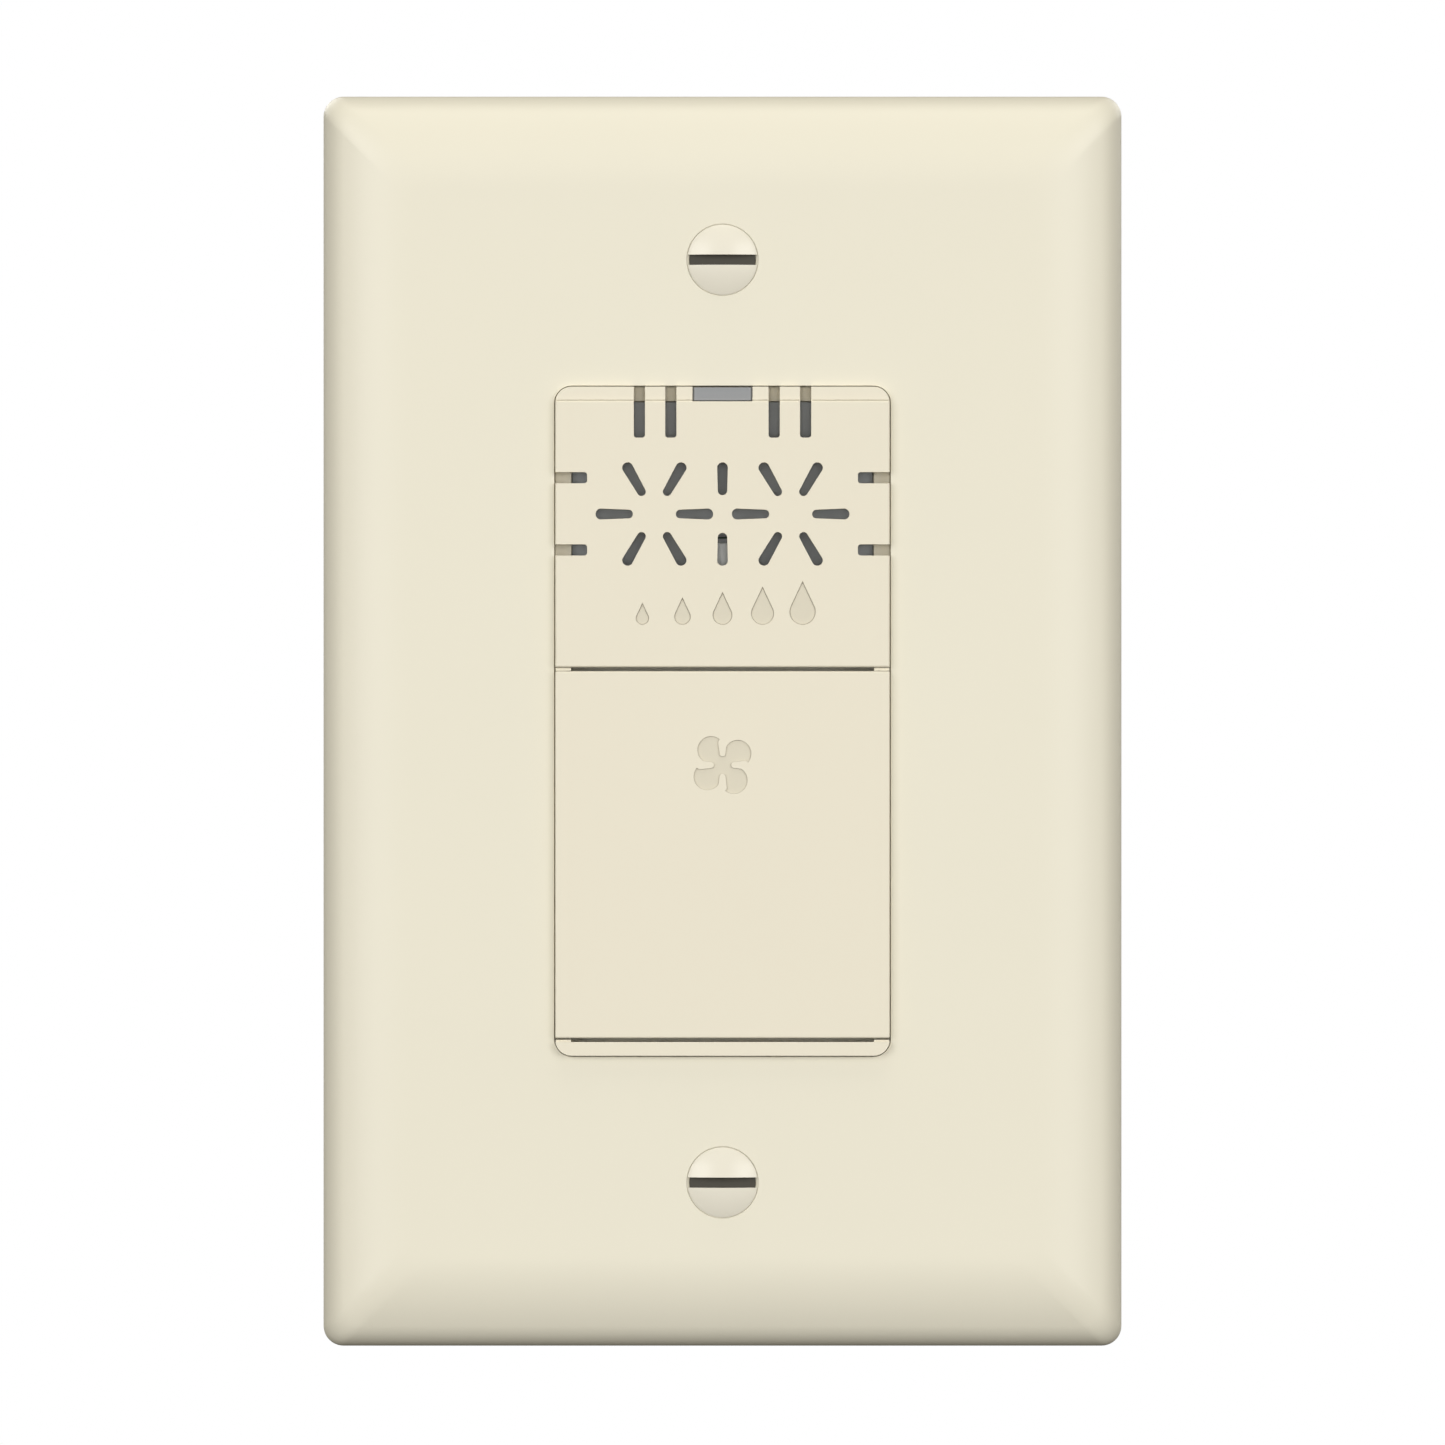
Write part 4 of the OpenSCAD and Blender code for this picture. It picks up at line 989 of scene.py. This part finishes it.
# %% Frame, baffle and sensor
front = refine("front_frame", face_finish, "ivory_face", 0.14 * MM, steps=3)
ribs = []
for z, half in ((cover_low.z - 0.2 * MM, 0.16 * MM), (button_low.z - 0.3 * MM, 0.12 * MM)):
    for side in (-1, 1):
        ends = sorted((side * (face_half - RAIL), side * (face_half - 0.05 * MM)))
        rib = block("rib", (ends[0], face_y + 0.6 * MM, z - half), (ends[1], rail_y, z + half))
        rib.data.materials.append(face_finish)
        ribs.append(rib)
join([front] + ribs, "front_frame_finished")
refine("sensor_baffle", baffle_finish, "dark_plastic", 0.06 * MM)
refine("humidity_sensor", sensor_finish, "sensor_case", 0.08 * MM)

# %% [markdown]
# ## Return springs
# Two small compression springs push the button back out. A spring is a ring of wire section, screwed up
# its axis, with both cut ends filled. When the button is pressed the spring can't turn with it, so it
# stays with the switch body.

# %% Springs
WIRE = 0.2 * MM
COIL_R = 1.65 * MM
deck_front = -2.8 * MM


def coil_spring(name, x, z, turns=4):
    bpy.ops.object.select_all(action="DESELECT")
    bpy.ops.mesh.primitive_circle_add(vertices=10, radius=WIRE, fill_type="NOTHING", location=(COIL_R, 0, 0))
    piece = bpy.context.object
    piece.name = name
    bpy.ops.object.transform_apply()
    rise = piece.modifiers.new("rise", "SCREW")
    rise.axis = "Y"
    rise.iterations = turns
    rise.screw_offset = (deck_front - face_back - 2 * WIRE - 0.04 * MM) / turns
    rise.steps = rise.render_steps = 28
    bpy.ops.object.modifier_apply(modifier=rise.name)
    start_editing(piece, "ALL")
    bpy.ops.mesh.remove_doubles(threshold=0.001 * MM)
    bpy.ops.mesh.select_all(action="SELECT")
    bpy.ops.mesh.fill_holes(sides=10)
    bpy.ops.mesh.select_all(action="SELECT")
    bpy.ops.mesh.normals_make_consistent(inside=False)
    stop_editing()
    bpy.ops.object.shade_smooth_by_angle(angle=math.radians(50))
    piece.data.transform(Matrix.Translation((x, face_back + WIRE + 0.02 * MM, z)))
    return piece


for side, word in ((-1, "left"), (1, "right")):
    spring = coil_spring(f"return_spring_{word}", side * SPRING_X, SPRING_Z)
    finish_piece(spring, spring_finish, "switch", "spring_steel", "button_return_springs")
    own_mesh(spring)

# %% [markdown]
# ## Steel yoke and housing
# The yoke is stamped from zinc-plated sheet, so its edges are slightly rolled over by the die. The housing
# is a deep black moulding with three terminal pockets. Each is a refined copy, with the rounding that its
# process leaves.

# %% Yoke, housing and what is fixed to them
refine("mounting_yoke", zinc_finish, "yoke_steel", 0.12 * MM)
refine("rear_housing", housing_finish, "charcoal_plastic", 0.3 * MM, steps=3)
refine("screw_retainers", fibre_finish, "fibre", 0.08 * MM)
refine("housing_screws", screw_finish, "zinc_screw", 0.07 * MM)
refine("hot_terminal_screws", brass_finish, "brass", 0.1 * MM)
refine("neutral_terminal_screw", nickel_finish, "nickel_silver", 0.1 * MM)
refine("ground_screw", green_finish, "green_screw", 0.12 * MM)
refine("terminal_clamps", screw_finish, "zinc_screw", 0.12 * MM)
refine("blank_label", label_finish, "label", 0.03 * MM)

# %% [markdown]
# ## Box mounting screws
# These two long screws fix the yoke to the wall box. The head is a low pan with a slot and a cross, and the
# thread is a zigzag in the spun profile. A real thread climbs as a helix, but at this size the spun one looks
# the same and closes cleanly at both ends.

# %% Box mounting screws
box_low, box_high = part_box("box_mounting_screws")
BOX_Z = 41.67 * MM
for side, word in ((1, "upper"), (-1, "lower")):
    profile = dome_points(3.3 * MM, 1.2 * MM, box_low.y) + [(3.4 * MM, box_low.y + 1.35 * MM),
                                                           (3.4 * MM, yoke_front - 0.1 * MM),
                                                           (3.25 * MM, yoke_front), (1.5 * MM, yoke_front)]
    profile += [(1.5 * MM, 1.3 * MM)] + thread_points(THREAD_R, PITCH, 0.3 * MM, 1.3 * MM, 23.4 * MM)
    profile += [(1.2 * MM, box_high.y), (0, box_high.y)]
    screw = lathe(f"box_screw_{word}", profile, z=side * BOX_Z, steps=36)
    combine(screw, block("slot", (-5 * MM, box_low.y - MM, side * BOX_Z - 0.5 * MM),
                         (5 * MM, yoke_front - 0.95 * MM, side * BOX_Z + 0.5 * MM)))
    combine(screw, block("cross", (-0.5 * MM, box_low.y - MM, side * BOX_Z - 1.9 * MM),
                         (0.5 * MM, yoke_front - 0.75 * MM, side * BOX_Z + 1.9 * MM)))
    soften(screw, 0.07 * MM, 2, 40)
    finish_piece(screw, screw_finish, "switch", "zinc_screw", "box_mounting_screws")

# %% [markdown]
# ## The parts inside
# Everything inside the housing keeps its engineering shape. What it needs is the right material: green
# boards with faint tracks, copper wire, pressboard, a ceramic fuse. A short table says which part gets
# which finish.

# %% Finishes for the hidden parts
inside = {
    board_finish: ("control_board", "power_board"),
    baffle_finish: ("sensor_board",),
    gold_finish: ("sensor_header",),
    screw_finish: ("control_board_screws", "power_board_screws"),
    black_plastic: ("button_switch_body", "microcontroller", "board_link_header", "relay_base",
                    "bridge_rectifier"),
    plunger_finish: ("button_switch_plunger",),
    white_plastic: ("humidity_dial_base", "timer_dial_base", "relay_bobbin", "indicator_led"),
    dial_blue: ("humidity_dial",),
    dial_white: ("timer_dial",),
    fibre_finish: ("insulating_sheet",),
    relay_blue: ("relay_case",),
    winding_finish: ("relay_winding",),
    iron_finish: ("relay_core", "relay_frame", "relay_armature"),
    brass_finish: ("relay_contact_blade", "relay_fixed_contact", "hot_terminal_strips"),
    nickel_finish: ("neutral_terminal_strip",),
    film_yellow: ("film_capacitor",),
    sleeve_finish: ("electrolytic_capacitors",),
    varistor_finish: ("varistor",),
    ferrite_finish: ("power_choke",),
    ceramic_finish: ("fuse",),
}
for finish, nodes in inside.items():
    for node in nodes:
        materials = bpy.data.objects[node].data.materials
        materials.clear()
        materials.append(finish)
print("inner parts finished:", sum(len(nodes) for nodes in inside.values()))

# %% [markdown]
# ## Camera, light and floor
# The switch is seen straight on through a long lens. Two large soft lights stand in front, to the left and
# right and a little above, which lets the margin darken evenly at both sides and more strongly along the
# bottom. A weak light from overhead catches the top margin. The floor is a pale disc that fades out
# before its edge, and the surroundings are plain white to the camera and dimmer as a source of light.

# %% Camera
FRAME_WIDTH = 151.66 * MM
DISTANCE = 1.6
camera_data = bpy.data.cameras.new("camera")
camera_data.sensor_width = 36
camera_data.lens = 36 * DISTANCE / FRAME_WIDTH
camera = bpy.data.objects.new("camera", camera_data)
bpy.context.scene.collection.objects.link(camera)
camera.location = (0, plate_front - DISTANCE, -0.14 * MM)
camera.rotation_euler = (math.pi / 2, 0, 0)
camera_data.clip_end = 20
bpy.context.scene.camera = camera
bpy.context.scene.view_settings.view_transform = "Standard"


# %% Lights
def softbox(name, azimuth, elevation, distance, size, watts, colour=(1, 1, 1)):
    """A large square light that faces the switch from an azimuth (0 is the room) and elevation."""
    data = bpy.data.lights.new(name, "AREA")
    data.energy = watts
    data.size = size
    data.color = colour
    light = bpy.data.objects.new(name, data)
    bpy.context.scene.collection.objects.link(light)
    a, e = math.radians(azimuth), math.radians(elevation)
    away = Vector((math.sin(a) * math.cos(e), -math.cos(a) * math.cos(e), math.sin(e)))
    light.location = away * distance
    light.rotation_euler = away.to_track_quat("Z", "Y").to_euler()
    return light


WARM = (1, 0.96, 0.86)
softbox("key_left", -35, 11, 4.0, 2.2, 67.0)
softbox("key_right", 35, 11, 4.0, 2.2, 67.0)
fill = softbox("fill", 0, 0, 4.0, 1.4, 46.0)
fill.visible_glossy = False
softbox("side_left", -75, 8, 4.0, 1.6, 9.0, WARM)
softbox("side_right", 75, 8, 4.0, 1.6, 9.0, WARM)
softbox("overhead", 0, 78, 3.0, 1.8, 26.0, WARM)
softbox("back_left", 215, 30, 3.0, 2.0, 40.0)
softbox("back_right", 140, 25, 3.0, 2.0, 30.0)

# %% Surroundings
world = bpy.data.worlds.new("surroundings")
world.use_nodes = True
bpy.context.scene.world = world
sky = world.node_tree
sky.nodes.clear()
seen = add_node(sky, "ShaderNodeBackground", color=(1, 1, 1, 1), strength=1.0)
lit = add_node(sky, "ShaderNodeBackground", color=(1.0, 0.93, 0.76, 1), strength=0.075)
path = add_node(sky, "ShaderNodeLightPath")
blend = add_node(sky, "ShaderNodeMixShader")
result = add_node(sky, "ShaderNodeOutputWorld")
sky.links.new(path.outputs["Is Camera Ray"], blend.inputs[0])
sky.links.new(lit.outputs[0], blend.inputs[1])
sky.links.new(seen.outputs[0], blend.inputs[2])
sky.links.new(blend.outputs[0], result.inputs[0])

# %% Floor
bpy.ops.object.select_all(action="DESELECT")
bpy.ops.mesh.primitive_circle_add(vertices=96, radius=1.2, fill_type="NGON", location=(0, 0, -0.25))
floor = bpy.context.object
floor.name = "floor"
floor_paint, floor_tree, floor_shader = new_material("pale_floor")
floor_shader.inputs["Base Color"].default_value = (0.86, 0.86, 0.85, 1)
floor_shader.inputs["Roughness"].default_value = 0.7
radius = add_node(floor_tree, "ShaderNodeVectorMath", operation="LENGTH")
floor_tree.links.new(add_node(floor_tree, "ShaderNodeTexCoord").outputs["Object"], radius.inputs[0])
fade = add_node(floor_tree, "ShaderNodeMapRange", interpolation_type="SMOOTHSTEP")
fade.inputs["From Min"].default_value = 0.3
fade.inputs["From Max"].default_value = 1.15
fade.inputs["To Min"].default_value = 1
fade.inputs["To Max"].default_value = 0
floor_tree.links.new(radius.outputs["Value"], fade.inputs["Value"])
floor_tree.links.new(fade.outputs["Result"], floor_shader.inputs["Alpha"])
floor.data.materials.append(floor_paint)
floor.visible_diffuse = False
floor.visible_glossy = False
